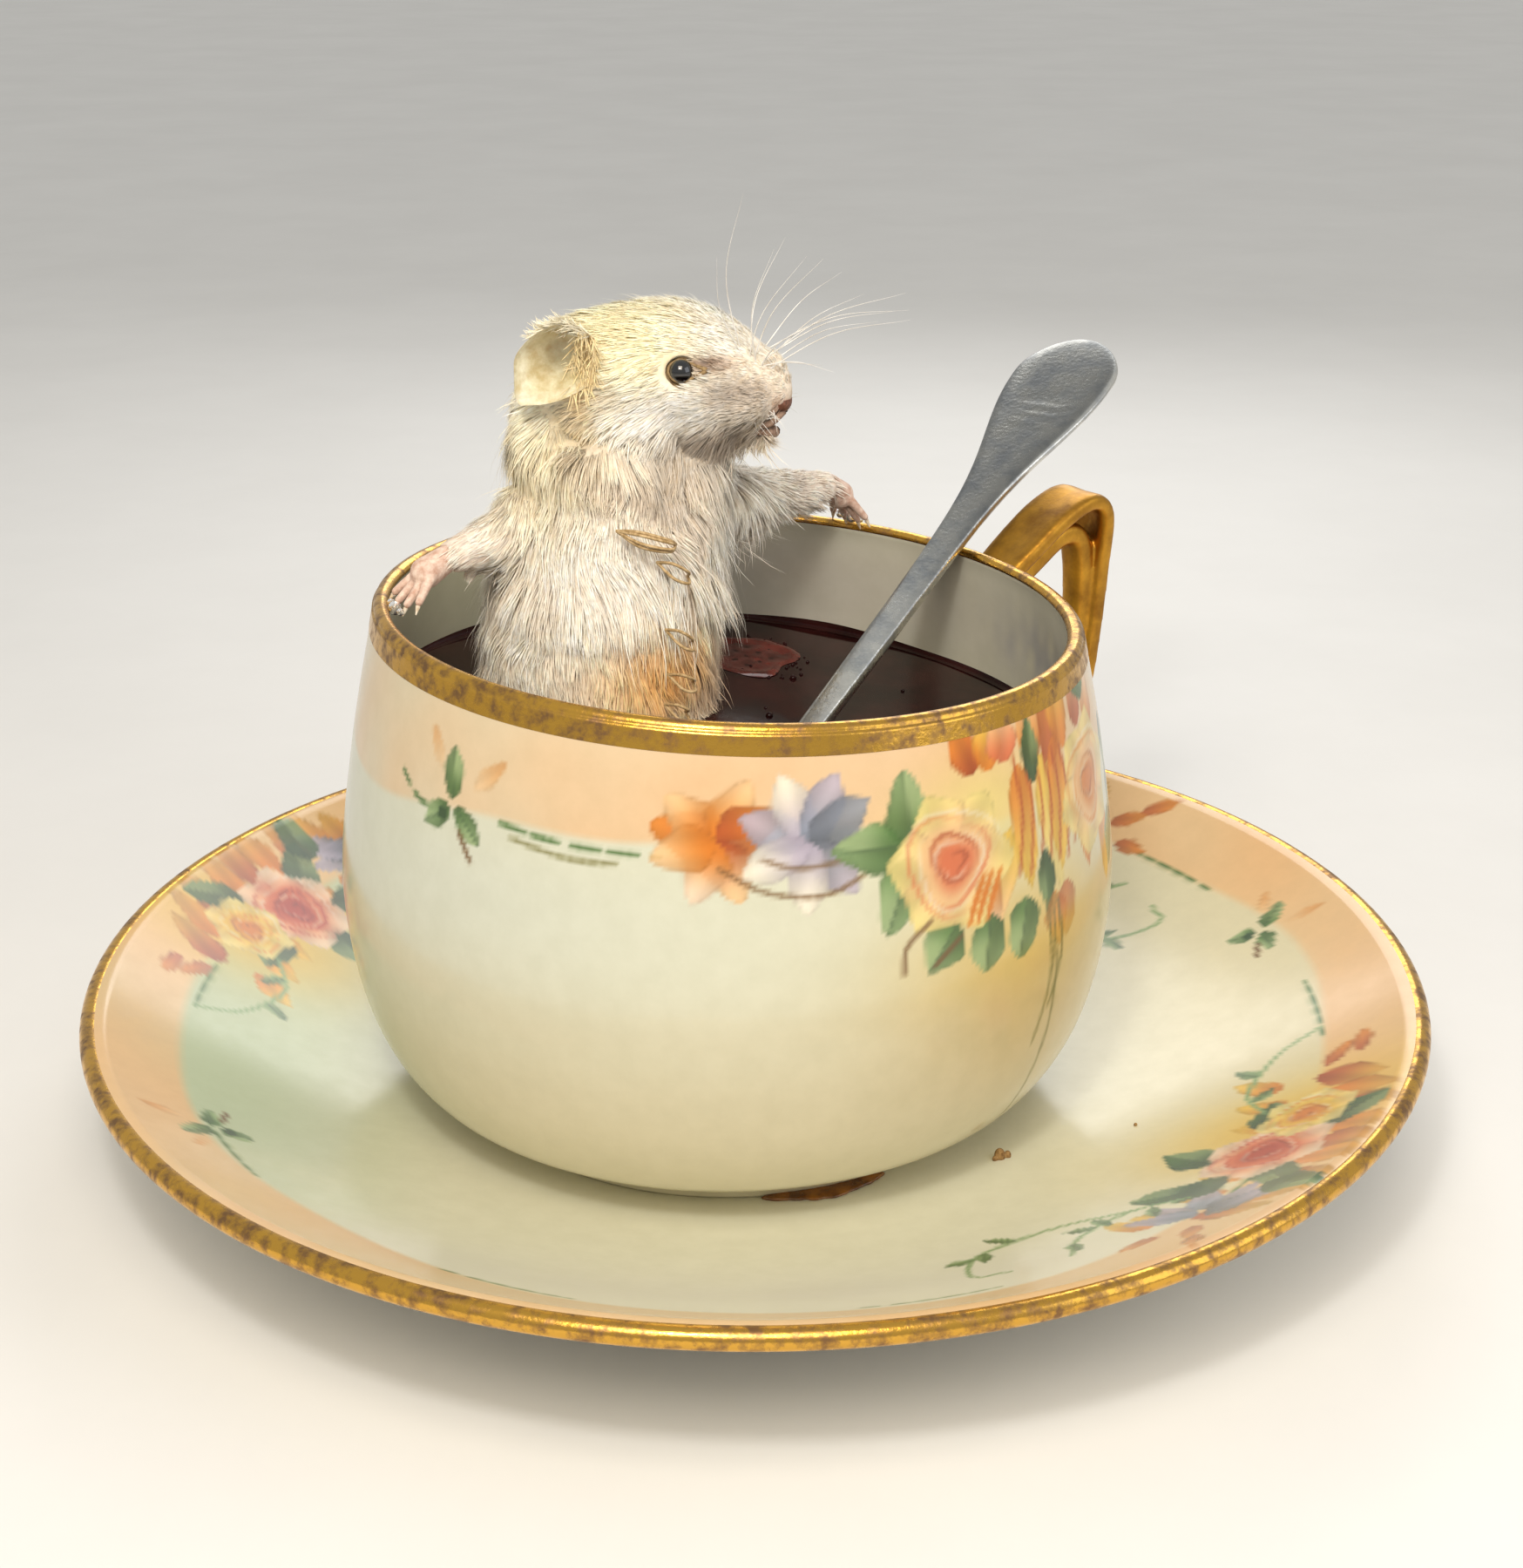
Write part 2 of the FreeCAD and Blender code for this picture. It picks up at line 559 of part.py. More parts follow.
def build():
    os.makedirs("parts", exist_ok=True)
    outside = bowl_outside()
    write("saucer", saucer())
    bowl = cup()
    write("cup", bowl)
    write("cup_handle", handle(outside))
    write("spilled_resin", residue())

    spoon = teaspoon()
    write("teaspoon", spoon)

    body_outer = torso(0)
    head_outer = head(0)
    shoulder_at = MOUSE + V(2.8, 1.8, SHOULDER_UP)
    neck_low = MOUSE + V(1.0, 0.3, 0.3 * TORSO_UP)
    skull = NAPE + HEAD_DIR * (0.38 * HEAD_L)
    spine = [MOUSE - UP * (0.8 * TORSO_SUNK), neck_low, MOUSE + V(3.0, 1.6, TORSO_UP), skull]
    spine_wire = wire_bar(spine, SPINE_R)
    spine_bore = wire_bar(spine, SPINE_R + FIT_GAP)

    arms = {}
    sides = (
        ("left", 1, PAW_AT_LEFT, PAW_IN_LEFT, PAW_ARCH_LEFT),
        ("right", -1, PAW_AT_RIGHT, PAW_IN_RIGHT, PAW_ARCH_RIGHT),
    )
    for name, sign, at, inwards, arch in sides:
        rest = rim_point(at) - turned(at) * inwards
        shoulder = shoulder_at + LEFT * (sign * (0.8 * TORSO_A))
        away = rest - shoulder
        level = V(away.x, away.y, 0)
        level.normalize()
        wrist = rest - level * 5.4 + UP * (PALM_R + PAW_LIFT + arch)
        arms[name] = (sign, at, rest, shoulder, wrist, level)

    bores = [spine_bore]
    for name, (sign, at, rest, shoulder, wrist, level) in arms.items():
        path = [neck_low + UP * 4 + LEFT * sign * 2.5, shoulder, wrist + level * 1.5]
        write("foreleg_wire_" + name, wire_bar(path, WIRE_R))
        bores.append(wire_bar(path, WIRE_R + FIT_GAP))
    floor = FLOOR_Z + 0.3
    for name, sign in (("left", 1), ("right", -1)):
        top = MOUSE - UP * (0.6 * TORSO_SUNK) + LEFT * (sign * ANCHOR_SPREAD)
        foot = V(top.x, top.y, floor)
        write("anchor_wire_" + name, rod(foot, top, WIRE_R))
        bores.append(rod(foot, top, WIRE_R + FIT_GAP))
    write("spine_wire", spine_wire)
    tunnels = bores[0].fuse(bores[1:])

    form = torso(HIDE_T + FIT_GAP)
    write("body_form", form.cut(tunnels))
    write("torso_hide", body_outer.cut(torso(HIDE_T)).cut(tunnels))

    head_rest = head_outer.cut(body_outer)
    clays = []
    eyes = {}
    for name, sign in (("left", 1), ("right", -1)):
        out, origin = eye_axis(sign)
        spot = surface_point(head_outer, origin, out)
        eyes[name] = (spot - out * (0.45 * EYE_R), out)
    core = head(HIDE_T + FIT_GAP).cut(body_outer)
    hide = head_rest.cut(head(HIDE_T))
    for name, (centre, out) in eyes.items():
        eye = Part.makeSphere(EYE_R, centre)
        socket = Part.makeSphere(EYE_R + FIT_GAP, centre)
        clay = Part.makeCylinder(EYE_CLAY_R, 3.0, centre - out * 3.2, out).cut(socket)
        clay_bore = Part.makeCylinder(EYE_CLAY_R + FIT_GAP, 3.0 + FIT_GAP, centre - out * (3.2 + FIT_GAP), out)
        write("eye_" + name, eye)
        write("eye_clay_" + name, clay.common(head_outer))
        hide = hide.cut([socket, clay_bore])
        core = core.cut([socket, clay_bore])
        clays.append(clay)
    nose_at = NAPE + HEAD_DIR * (HEAD_L - 0.6) - UP * 1.0
    nose = Part.makeSphere(NOSE_R, nose_at)
    write("nose", nose.cut(head_outer))
    write("head_form", core.cut(tunnels))
    write("head_hide", hide.cut(tunnels))
    for name, sign in (("left", 1), ("right", -1)):
        write("ear_" + name, ear(head_outer, sign))
        write("whiskers_" + name, whisker_pad(head_outer, sign))
    write("seam_stitches", stitches(body_outer))

    for name, (sign, at, rest, shoulder, wrist, level) in arms.items():
        way = wrist - shoulder
        across = way.cross(UP)
        across.normalize()
        lift = across.cross(way)
        lift.normalize()
        rings = []
        cuff = WRIST_R + 0.4
        for share, radius in ((0.0, ARM_R), (0.45, 0.68 * ARM_R), (0.8, 0.5 * ARM_R), (1.0, cuff)):
            rings.append((shoulder + way * share, across, lift, radius, radius))
        leg = skin(rings).cut(body_outer)
        reach = rest + level * 0.6 + UP * (PALM_R * 0.75) - wrist
        reach.normalize()
        palm_up = UP - reach * UP.dot(reach)
        palm_up.normalize()
        hand, claws = paw(wrist, reach, palm_up, bowl)
        write("paw_" + name, hand.cut(tunnels))
        write("claws_" + name, Part.makeCompound(claws))
        write("foreleg_hide_" + name, leg.cut(tunnels).cut(hand))
        drop = Part.makeSphere(GLUE_R, rim_point(at) + UP * 0.3)
        write("paw_glue_" + name, drop.cut([hand, bowl] + claws))

    sunk = [torso(-FIT_GAP), spoon]
    pool = bowl_inside(TEA_FILM).cut(above(TEA_Z, TEA_LEAN)).cut(sunk)
    write("tea_fill", pool.cut(tunnels))


build()
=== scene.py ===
"""A mounted white mouse in a hand-painted teacup: the finish of every piece around its CAD frame.

Sizes are millimetres unless a name says otherwise, and one factor turns them to Blender's metres.
"""

import logging
import math
from dataclasses import dataclass, field
from enum import Enum
from typing import Optional, Sequence

import bpy
import numpy as np
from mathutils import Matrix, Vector
from mathutils.kdtree import KDTree


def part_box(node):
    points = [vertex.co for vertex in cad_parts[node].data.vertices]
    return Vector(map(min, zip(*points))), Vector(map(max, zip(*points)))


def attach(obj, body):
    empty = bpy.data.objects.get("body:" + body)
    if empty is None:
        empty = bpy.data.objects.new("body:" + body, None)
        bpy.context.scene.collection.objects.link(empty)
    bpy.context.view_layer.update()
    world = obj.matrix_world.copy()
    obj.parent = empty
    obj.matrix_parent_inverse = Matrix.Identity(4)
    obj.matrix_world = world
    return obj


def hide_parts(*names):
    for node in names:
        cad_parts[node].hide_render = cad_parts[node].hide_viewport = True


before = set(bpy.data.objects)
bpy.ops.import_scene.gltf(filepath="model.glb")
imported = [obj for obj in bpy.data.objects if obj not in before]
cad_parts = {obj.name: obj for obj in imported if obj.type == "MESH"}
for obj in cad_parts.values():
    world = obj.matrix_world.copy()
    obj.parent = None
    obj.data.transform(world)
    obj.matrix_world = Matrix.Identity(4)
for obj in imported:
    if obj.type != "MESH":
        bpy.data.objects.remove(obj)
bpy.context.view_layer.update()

MM = 0.001
UP = np.array([0.0, 0.0, 1.0])
CUP_AXIS = -3.1                      # the cup's axis along X
CUP_BODY = "cup_group"
SAUCER_BODY = "saucer_base"
MIX_A, MIX_B, MIX_OUT = 6, 7, 2      # the colour sockets of a mix node
LOG = logging.getLogger("teacup")
Array = np.ndarray
Point = tuple[float, float]


# ---------------------------------------------------------------- colours and nodes
def srgb(code: str) -> Array:
    """One sRGB hex colour as three numbers from 0 to 1, still in sRGB."""
    return np.array([int(code[i:i + 2], 16) / 255 for i in (1, 3, 5)])


def to_linear(colour: Array) -> Array:
    """sRGB numbers as linear light."""
    return np.where(colour <= 0.04045, colour / 12.92, ((colour + 0.055) / 1.055) ** 2.4)


def linear(code: str) -> tuple[float, float, float, float]:
    """One sRGB hex colour as a linear RGBA value for a socket."""
    return (*to_linear(srgb(code)), 1.0)


def per_mm(size: float) -> float:
    """Texture scale that repeats once in a size in millimetres."""
    return 1.0 / (size * MM)


def add(tree: bpy.types.NodeTree, kind: str, settings: Optional[dict] = None,
        links: Optional[dict] = None) -> bpy.types.Node:
    """Add a node to a tree.

    Args:
        tree: the node tree.
        kind: the node's type name.
        settings: socket values and node properties by name.
        links: output sockets by the name or number of the input that each one feeds.

    Returns:
        The new node.
    """
    node = tree.nodes.new(kind)
    for key, value in (settings or {}).items():
        if isinstance(key, str) and hasattr(node, key):
            setattr(node, key, value)
        else:
            node.inputs[key].default_value = value
    for key, output in (links or {}).items():
        tree.links.new(output, node.inputs[key])
    return node


@dataclass(frozen=True)
class Finish:
    """A surface: two tones that a pattern mixes, its gloss and its fine relief."""

    name: str
    light: str
    dark: str
    grain: float                # size of the tone pattern
    roughness: float
    rough_spread: float = 0.1
    metallic: float = 0.0
    ior: float = 1.5
    relief: float = 0.0         # height of the bump
    relief_size: float = 1.0
    balance: tuple[float, float] = (0.35, 0.65)
    painted: bool = False       # base colour comes from the mesh's own paint
    sockets: tuple = ()         # further shader values, by socket name

    def build(self) -> bpy.types.Material:
        """Make the material.

        Returns:
            The Blender material.
        """
        material = bpy.data.materials.new(self.name)
        material.use_nodes = True
        tree = material.node_tree
        tree.nodes.clear()
        where = add(tree, "ShaderNodeTexCoord").outputs["Object"]
        tone = add(tree, "ShaderNodeTexNoise",
                   {"Scale": per_mm(self.grain), "Detail": 5.0, "Roughness": 0.62}, {"Vector": where})
        spread = add(tree, "ShaderNodeMapRange",
                     {"From Min": self.balance[0], "From Max": self.balance[1]},
                     {"Value": tone.outputs["Fac"]})
        colour = add(tree, "ShaderNodeMix",
                     {"data_type": "RGBA", MIX_A: linear(self.dark), MIX_B: linear(self.light)},
                     {"Factor": spread.outputs["Result"]})
        if self.painted:
            paint = add(tree, "ShaderNodeAttribute", {"attribute_name": "paint"})
            colour = add(tree, "ShaderNodeMix",
                         {"data_type": "RGBA", "blend_type": "MULTIPLY", "Factor": 1.0},
                         {MIX_A: paint.outputs["Color"], MIX_B: colour.outputs[MIX_OUT]})
        gloss = add(tree, "ShaderNodeMapRange",
                    {"To Min": self.roughness + self.rough_spread, "To Max": self.roughness},
                    {"Value": spread.outputs["Result"]})
        shader = add(tree, "ShaderNodeBsdfPrincipled", {"Metallic": self.metallic, **dict(self.sockets)},
                     {"Base Color": colour.outputs[MIX_OUT], "Roughness": gloss.outputs["Result"]})
        if self.metallic == 0.0:
            shader.inputs["IOR"].default_value = self.ior
        if self.relief:
            fine = add(tree, "ShaderNodeTexNoise", {"Scale": per_mm(self.relief_size), "Detail": 4.0},
                       {"Vector": where})
            bump = add(tree, "ShaderNodeBump", {"Strength": 1.0, "Distance": self.relief * MM},
                       {"Height": fine.outputs["Fac"]})
            tree.links.new(bump.outputs["Normal"], shader.inputs["Normal"])
        add(tree, "ShaderNodeOutputMaterial", None, {"Surface": shader.outputs["BSDF"]})
        return material


# Hard-paste porcelain under a fired glaze: a smooth, slightly rippled gloss over soft washed colour.
PORCELAIN = Finish("glazed_porcelain", "#E2DED3", "#DDD9CD", 3.0, 0.14, 0.05, ior=1.52,
                   relief=0.006, relief_size=5.0, painted=True)
# Fired gold on a rim, rubbed through to a brown edge: bright streaks and dull worn patches.
RIM_GOLD = Finish("fired_gold", "#DBA848", "#8E6C48", 1.8, 0.2, 0.24, metallic=1.0,
                  relief=0.03, relief_size=0.5, balance=(0.36, 0.56))
# Brushed fired gold on the handle: an even satin yellow with soft cloudy wear.
HANDLE_GOLD = Finish("brushed_gold", "#CC9636", "#8A5F26", 6.0, 0.34, 0.14, metallic=1.0,
                     relief=0.03, relief_size=0.5, balance=(0.3, 0.6))
# Old silver plate: pale grey, clouded with tarnish under fine wear marks. Its colour is multiplied by each
# piece's paint, which on the stem is painted reflection.
SILVER = Finish("tarnished_silver", "#DEDBD2", "#A9ABAB", 3.2, 0.22, 0.16, metallic=1.0,
                relief=0.04, relief_size=0.5, balance=(0.34, 0.62), painted=True)
# Polyester resin tinted as strong tea: almost black and very glossy, and red where it is thin.
TEA = Finish("tea_resin", "#341412", "#1A0807", 9.0, 0.06, 0.08, ior=1.54, relief=0.03, relief_size=6.0,
             sockets=(("Specular IOR Level", 0.12),))
TEA_GLOW = Finish("tea_resin_thin", "#6E2E26", "#3E1612", 3.0, 0.06, 0.05, ior=1.54, relief=0.05,
                  relief_size=1.8, sockets=(("Specular IOR Level", 0.25),))
# Amber resin drip: deep yellow-brown and glassy.
AMBER = Finish("amber_resin", "#A8681C", "#5A300C", 2.0, 0.08, 0.06, ior=1.54,
               sockets=(("Transmission Weight", 0.35),))
# Clear glue: a wet, colourless bead.
GLUE = Finish("clear_glue", "#F4F2EC", "#E6E2D8", 1.0, 0.05, 0.03, ior=1.48,
              sockets=(("Transmission Weight", 0.85),))
# Tanned mouse skin under the coat: dull and warm.
SKIN = Finish("tanned_skin", "#FFFFFF", "#F0E8DC", 1.2, 0.72, 0.1, ior=1.44, relief=0.08, relief_size=0.35,
              painted=True)
# Guard hair and under-fur: fine matt fibres with a silky edge.
FUR = Finish("mouse_fur", "#FFFFFF", "#F2ECE2", 0.8, 0.5, 0.15, ior=1.55, painted=True,
             sockets=(("Sheen Weight", 0.25), ("Sheen Roughness", 0.4)))
# Dried ear skin: thin, waxy and yellowish, with faint creases and a warm glow through it.
EAR = Finish("dried_ear_skin", "#FFFFFF", "#D9CDB4", 1.6, 0.45, 0.15, ior=1.44, relief=0.06, relief_size=0.7,
             painted=True,
             sockets=(("Subsurface Weight", 0.15), ("Subsurface Radius", (0.002, 0.001, 0.0006)),
                      ("Subsurface Scale", 1.0)))
# Black glass bead.
EYE = Finish("black_glass", "#0B0A0B", "#030303", 0.8, 0.03, 0.02, ior=1.52, sockets=(("Coat Weight", 1.0),))
# Modelling clay packed round the eye: tan and dull.
CLAY = Finish("modelling_clay", "#A98C5C", "#6E5434", 0.6, 0.6, 0.1, relief=0.05, relief_size=0.3)
# Dried nose leather: reddish brown and a little shiny.
NOSE = Finish("nose_skin", "#8C5A42", "#55301F", 0.5, 0.4, 0.15, relief=0.06, relief_size=0.25)
# Dried paw skin: pink-beige and wrinkled.
PAW = Finish("paw_skin", "#EBD2BF", "#C39A84", 0.9, 0.5, 0.15, ior=1.44, relief=0.07, relief_size=0.35)
# Dried lip skin: brownish pink and creased.
LIP = Finish("lip_skin", "#A88A74", "#6A5040", 0.7, 0.5, 0.15, ior=1.44, relief=0.06, relief_size=0.3)
# Claw horn: pale, waxy and half clear.
CLAW = Finish("claw_horn", "#F1E4CE", "#CDB492", 0.5, 0.25, 0.1)
# Whisker hair: stiff, white and glossy.
WHISKER = Finish("whisker_hair", "#F4F1EA", "#CFC8BC", 4.0, 0.35, 0.1)
# Waxed linen thread.
THREAD = Finish("linen_thread", "#D2B587", "#9C7C4C", 0.5, 0.65, 0.1, relief=0.05, relief_size=0.2)
# Galvanised soft steel wire.
WIRE = Finish("steel_wire", "#A7A9AC", "#6F7174", 1.5, 0.35, 0.1, metallic=1.0, relief=0.01, relief_size=0.4)
# Wound wood wool.
WOOL = Finish("wood_wool", "#C9A56C", "#8A6A3B", 0.9, 0.85, 0.1, relief=0.2, relief_size=0.6)
# Matt pale paper under the saucer.
STUDIO_FLOOR = Finish("studio_floor", "#E6E4E0", "#E2E0DC", 60.0, 0.7, 0.1)
# A crumb of set sugar and dust.
CRUMB = Finish("dust_crumb", "#B08B55", "#6E4C25", 0.4, 0.8, 0.1, relief=0.1, relief_size=0.3)


# ---------------------------------------------------------------- shapes
def smoothstep(low: float, high: float, value: Array) -> Array:
    """0 below low, 1 above high and smooth between; low may be the larger."""
    t = np.clip((value - low) / (high - low), 0, 1)
    return t * t * (3 - 2 * t)


def unit(vectors: Array) -> Array:
    """Vectors at length one."""
    return vectors / np.maximum(np.linalg.norm(vectors, axis=-1, keepdims=True), 1e-9)


def squared(wave: Array, power: float) -> Array:
    """A sine or cosine with its shoulders pushed out, for a bar with rounded corners."""
    return np.sign(wave) * np.abs(wave) ** power


def shift(rgb: Array, code: str, share: Array) -> None:
    """Move each colour of a list towards one sRGB hex colour by its own share."""
    rgb += (srgb(code) - rgb) * share[:, None]


def whole_turn(count: int) -> Array:
    """Even angles once round, without the closing one."""
    return np.linspace(0, 2 * math.pi, count, endpoint=False)


def ripple(points: Array, size: float, seed: int) -> Array:
    """Smooth pseudo-random value from -1 to 1 at each point, which changes over a size."""
    rng = np.random.default_rng(seed)
    total = np.zeros(len(points))
    for _ in range(6):
        way = unit(rng.normal(size=points.shape[1]))
        total += np.sin(points @ way * (2 * math.pi / size) * rng.uniform(0.6, 1.6) + rng.uniform(0, 6.28))
    return total / 3.0


def smooth_curve(points: Sequence[Sequence[float]], count: int) -> Array:
    """Even points on a centripetal curve through given points.

    Args:
        points: the points to pass through.
        count: how many points to return.

    Returns:
        The curve's points.
    """
    p = np.array(points, float)
    p = np.vstack([2 * p[0] - p[1], p, 2 * p[-1] - p[-2]])
    out = []
    for a, b, c, d in zip(p, p[1:], p[2:], p[3:]):
        for t in np.linspace(0, 1, 24, endpoint=False):
            out.append(0.5 * (2 * b + (c - a) * t + (2 * a - 5 * b + 4 * c - d) * t ** 2
                              + (3 * b - a - 3 * c + d) * t ** 3))
    out.append(p[-2])
    line = np.array(out)
    run = np.concatenate([[0], np.cumsum(np.linalg.norm(np.diff(line, axis=0), axis=1))])
    even = np.linspace(0, run[-1], count)
    return np.stack([np.interp(even, run, line[:, k]) for k in range(line.shape[1])], axis=1)


def place(name: str, data: bpy.types.ID) -> bpy.types.Object:
    """New object in the scene that holds a mesh, a lamp or a camera."""
    obj = bpy.data.objects.new(name, data)
    bpy.context.scene.collection.objects.link(obj)
    return obj


def lay_paint(mesh: bpy.types.Mesh, paint: Array) -> None:
    """Give a mesh its own colours, one sRGB row for each vertex."""
    layer = mesh.color_attributes.new("paint", "FLOAT_COLOR", "POINT")
    rgba = np.ones((len(paint), 4), np.float32)
    rgba[:, :3] = to_linear(np.clip(paint, 0, 1))
    layer.data.foreach_set("color", rgba.ravel())


def vertex_rows(mesh: bpy.types.Mesh, kind: str) -> Array:
    """Each vertex's place ("co", in metres) or "normal", as rows of three."""
    values = np.zeros(len(mesh.vertices) * 3)
    mesh.vertices.foreach_get(kind, values)
    return values.reshape(-1, 3)


def triangle_rows(mesh: bpy.types.Mesh) -> Array:
    """The vertex numbers of a mesh's triangles."""
    mesh.calc_loop_triangles()
    corners = np.zeros(len(mesh.loop_triangles) * 3, np.int32)
    mesh.loop_triangles.foreach_get("vertices", corners)
    return corners.reshape(-1, 3)


def make_mesh(name: str, points: Array, faces: Sequence[Array],
              paint: Optional[Array] = None) -> bpy.types.Object:
    """Make a smooth-shaded mesh object from arrays.

    Args:
        name: the piece's name.
        points: vertices in millimetres.
        faces: arrays of vertex numbers, one array for each number of corners.
        paint: an sRGB colour for each vertex.

    Returns:
        The object, linked to the scene.
    """
    mesh = bpy.data.meshes.new(name)
    mesh.vertices.add(len(points))
    mesh.vertices.foreach_set("co", (np.asarray(points, float) * MM).astype(np.float32).ravel())
    faces = [f for f in faces if len(f)]
    corners = np.concatenate([f.ravel() for f in faces]).astype(np.int32)
    sizes = np.concatenate([np.full(len(f), f.shape[1]) for f in faces])
    starts = np.concatenate([[0], np.cumsum(sizes)[:-1]]).astype(np.int32)
    mesh.loops.add(len(corners))
    mesh.loops.foreach_set("vertex_index", corners)
    mesh.polygons.add(len(sizes))
    mesh.polygons.foreach_set("loop_start", starts)
    mesh.update(calc_edges=True)
    mesh.polygons.foreach_set("use_smooth", np.ones(len(sizes), bool))
    if paint is not None:
        lay_paint(mesh, paint)
    return place(name, mesh)


def grid_faces(rows: int, columns: int, closed: bool) -> Array:
    """Quads over a grid of rows by columns; closed joins the last column to the first."""
    r = np.arange(rows - 1)[:, None]
    c = np.arange(columns if closed else columns - 1)[None, :]
    n = (c + 1) % columns
    return np.stack([r * columns + c, r * columns + n, (r + 1) * columns + n, (r + 1) * columns + c],
                    axis=-1).reshape(-1, 4)


def halved(quads: Array) -> Array:
    """Each quad as two triangles."""
    return np.vstack([quads[:, [0, 1, 2]], quads[:, [0, 2, 3]]])


def fan(hub: int, start: int, count: int, flip: bool) -> Array:
    """Triangles from one vertex to a ring of vertices."""
    ring = start + np.arange(count)
    after = np.roll(ring, -1)
    return np.stack([np.full(count, hub), after if flip else ring, ring if flip else after], axis=1)


def ball_rows(rows: int, around: int, gap: float) -> Array:
    """Points of a ball of radius one in rings, which leave an angle open at each pole."""
    phi = np.linspace(gap, math.pi - gap, rows)[:, None]
    turn = whole_turn(around)
    return np.stack([np.sin(phi) * np.cos(turn), np.sin(phi) * np.sin(turn),
                     np.broadcast_to(np.cos(phi), (rows, around))], axis=-1).reshape(-1, 3)


def tube(line: Array, radii: Array, sides: int) -> tuple[Array, Array]:
    """Round tube about a line.

    Args:
        line: the centreline's points.
        radii: the radius at each point.
        sides: corners of the section.

    Returns:
        The vertices and the quads.
    """
    way = unit(np.gradient(line, axis=0))
    side = unit(np.cross(way, np.array([0.31, 0.17, 0.93])))
    up = np.cross(side, way)
    turn = whole_turn(sides)
    ring = np.cos(turn)[None, :, None] * side[:, None] + np.sin(turn)[None, :, None] * up[:, None]
    points = line[:, None] + ring * radii[:, None, None]
    return points.reshape(-1, 3), grid_faces(len(line), sides, True)


def tubes(name: str, lines: Sequence[Array], radii: Sequence[Array], sides: int) -> bpy.types.Object:
    """Several tubes as one piece."""
    points, faces, start = [], [], 0
    for line, radius in zip(lines, radii):
        p, f = tube(line, radius, sides)
        points.append(p)
        faces.append(f + start)
        start += len(p)
    return make_mesh(name, np.vstack(points), [np.vstack(faces)])


def settle(obj: bpy.types.Object, body: str, slot: str, finish: Finish, *nodes: str) -> bpy.types.Object:
    """Give a piece its finish, its body and the CAD nodes that it stands for."""
    dress(obj, finish)
    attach(obj, body)
    if nodes:
        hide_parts(*nodes)
    LOG.info("%s: %d faces", obj.name, len(obj.data.polygons))
    return obj


_MADE: dict[str, bpy.types.Material] = {}


def material_of(finish: Finish) -> bpy.types.Material:
    """The finish's material, made once."""
    if finish.name not in _MADE:
        _MADE[finish.name] = finish.build()
    return _MADE[finish.name]


def dress(obj: bpy.types.Object, finish: Finish) -> None:
    """Give an object one finish."""
    obj.data.materials.clear()
    obj.data.materials.append(material_of(finish))


def box_of(node: str) -> tuple[Array, Array]:
    """A CAD node's lowest and highest corners in millimetres."""
    low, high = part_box(node)
    return np.array(low) / MM, np.array(high) / MM


# ---------------------------------------------------------------- hand painting
class Ink(Enum):
    """Colours on the painter's tray."""

    APRICOT = "#F4CDA4"
    PEACH = "#F7CC9A"
    ORANGE = "#E0842C"
    RUST = "#B4562A"
    MADDER = "#B8402C"
    CORAL = "#E0764E"
    BLUSH = "#F6DCC6"
    YELLOW = "#F0C54C"
    PALE_YELLOW = "#F4E296"
    OCHRE = "#D9A648"
    PALE_LEAF = "#BFD3A4"
    LEAF = "#8DB07A"
    GREEN = "#557C44"
    DARK_GREEN = "#3E5A38"
    OLIVE = "#7D7A45"
    LILAC = "#BDB6D2"
    BLUE_GREY = "#8D98B2"
    SLATE = "#6D7486"
    BROWN = "#7A5B3A"
    WHITE = "#F7F3EA"

    @property
    def tone(self) -> Array:
        """The colour's sRGB numbers."""
        return srgb(self.value)


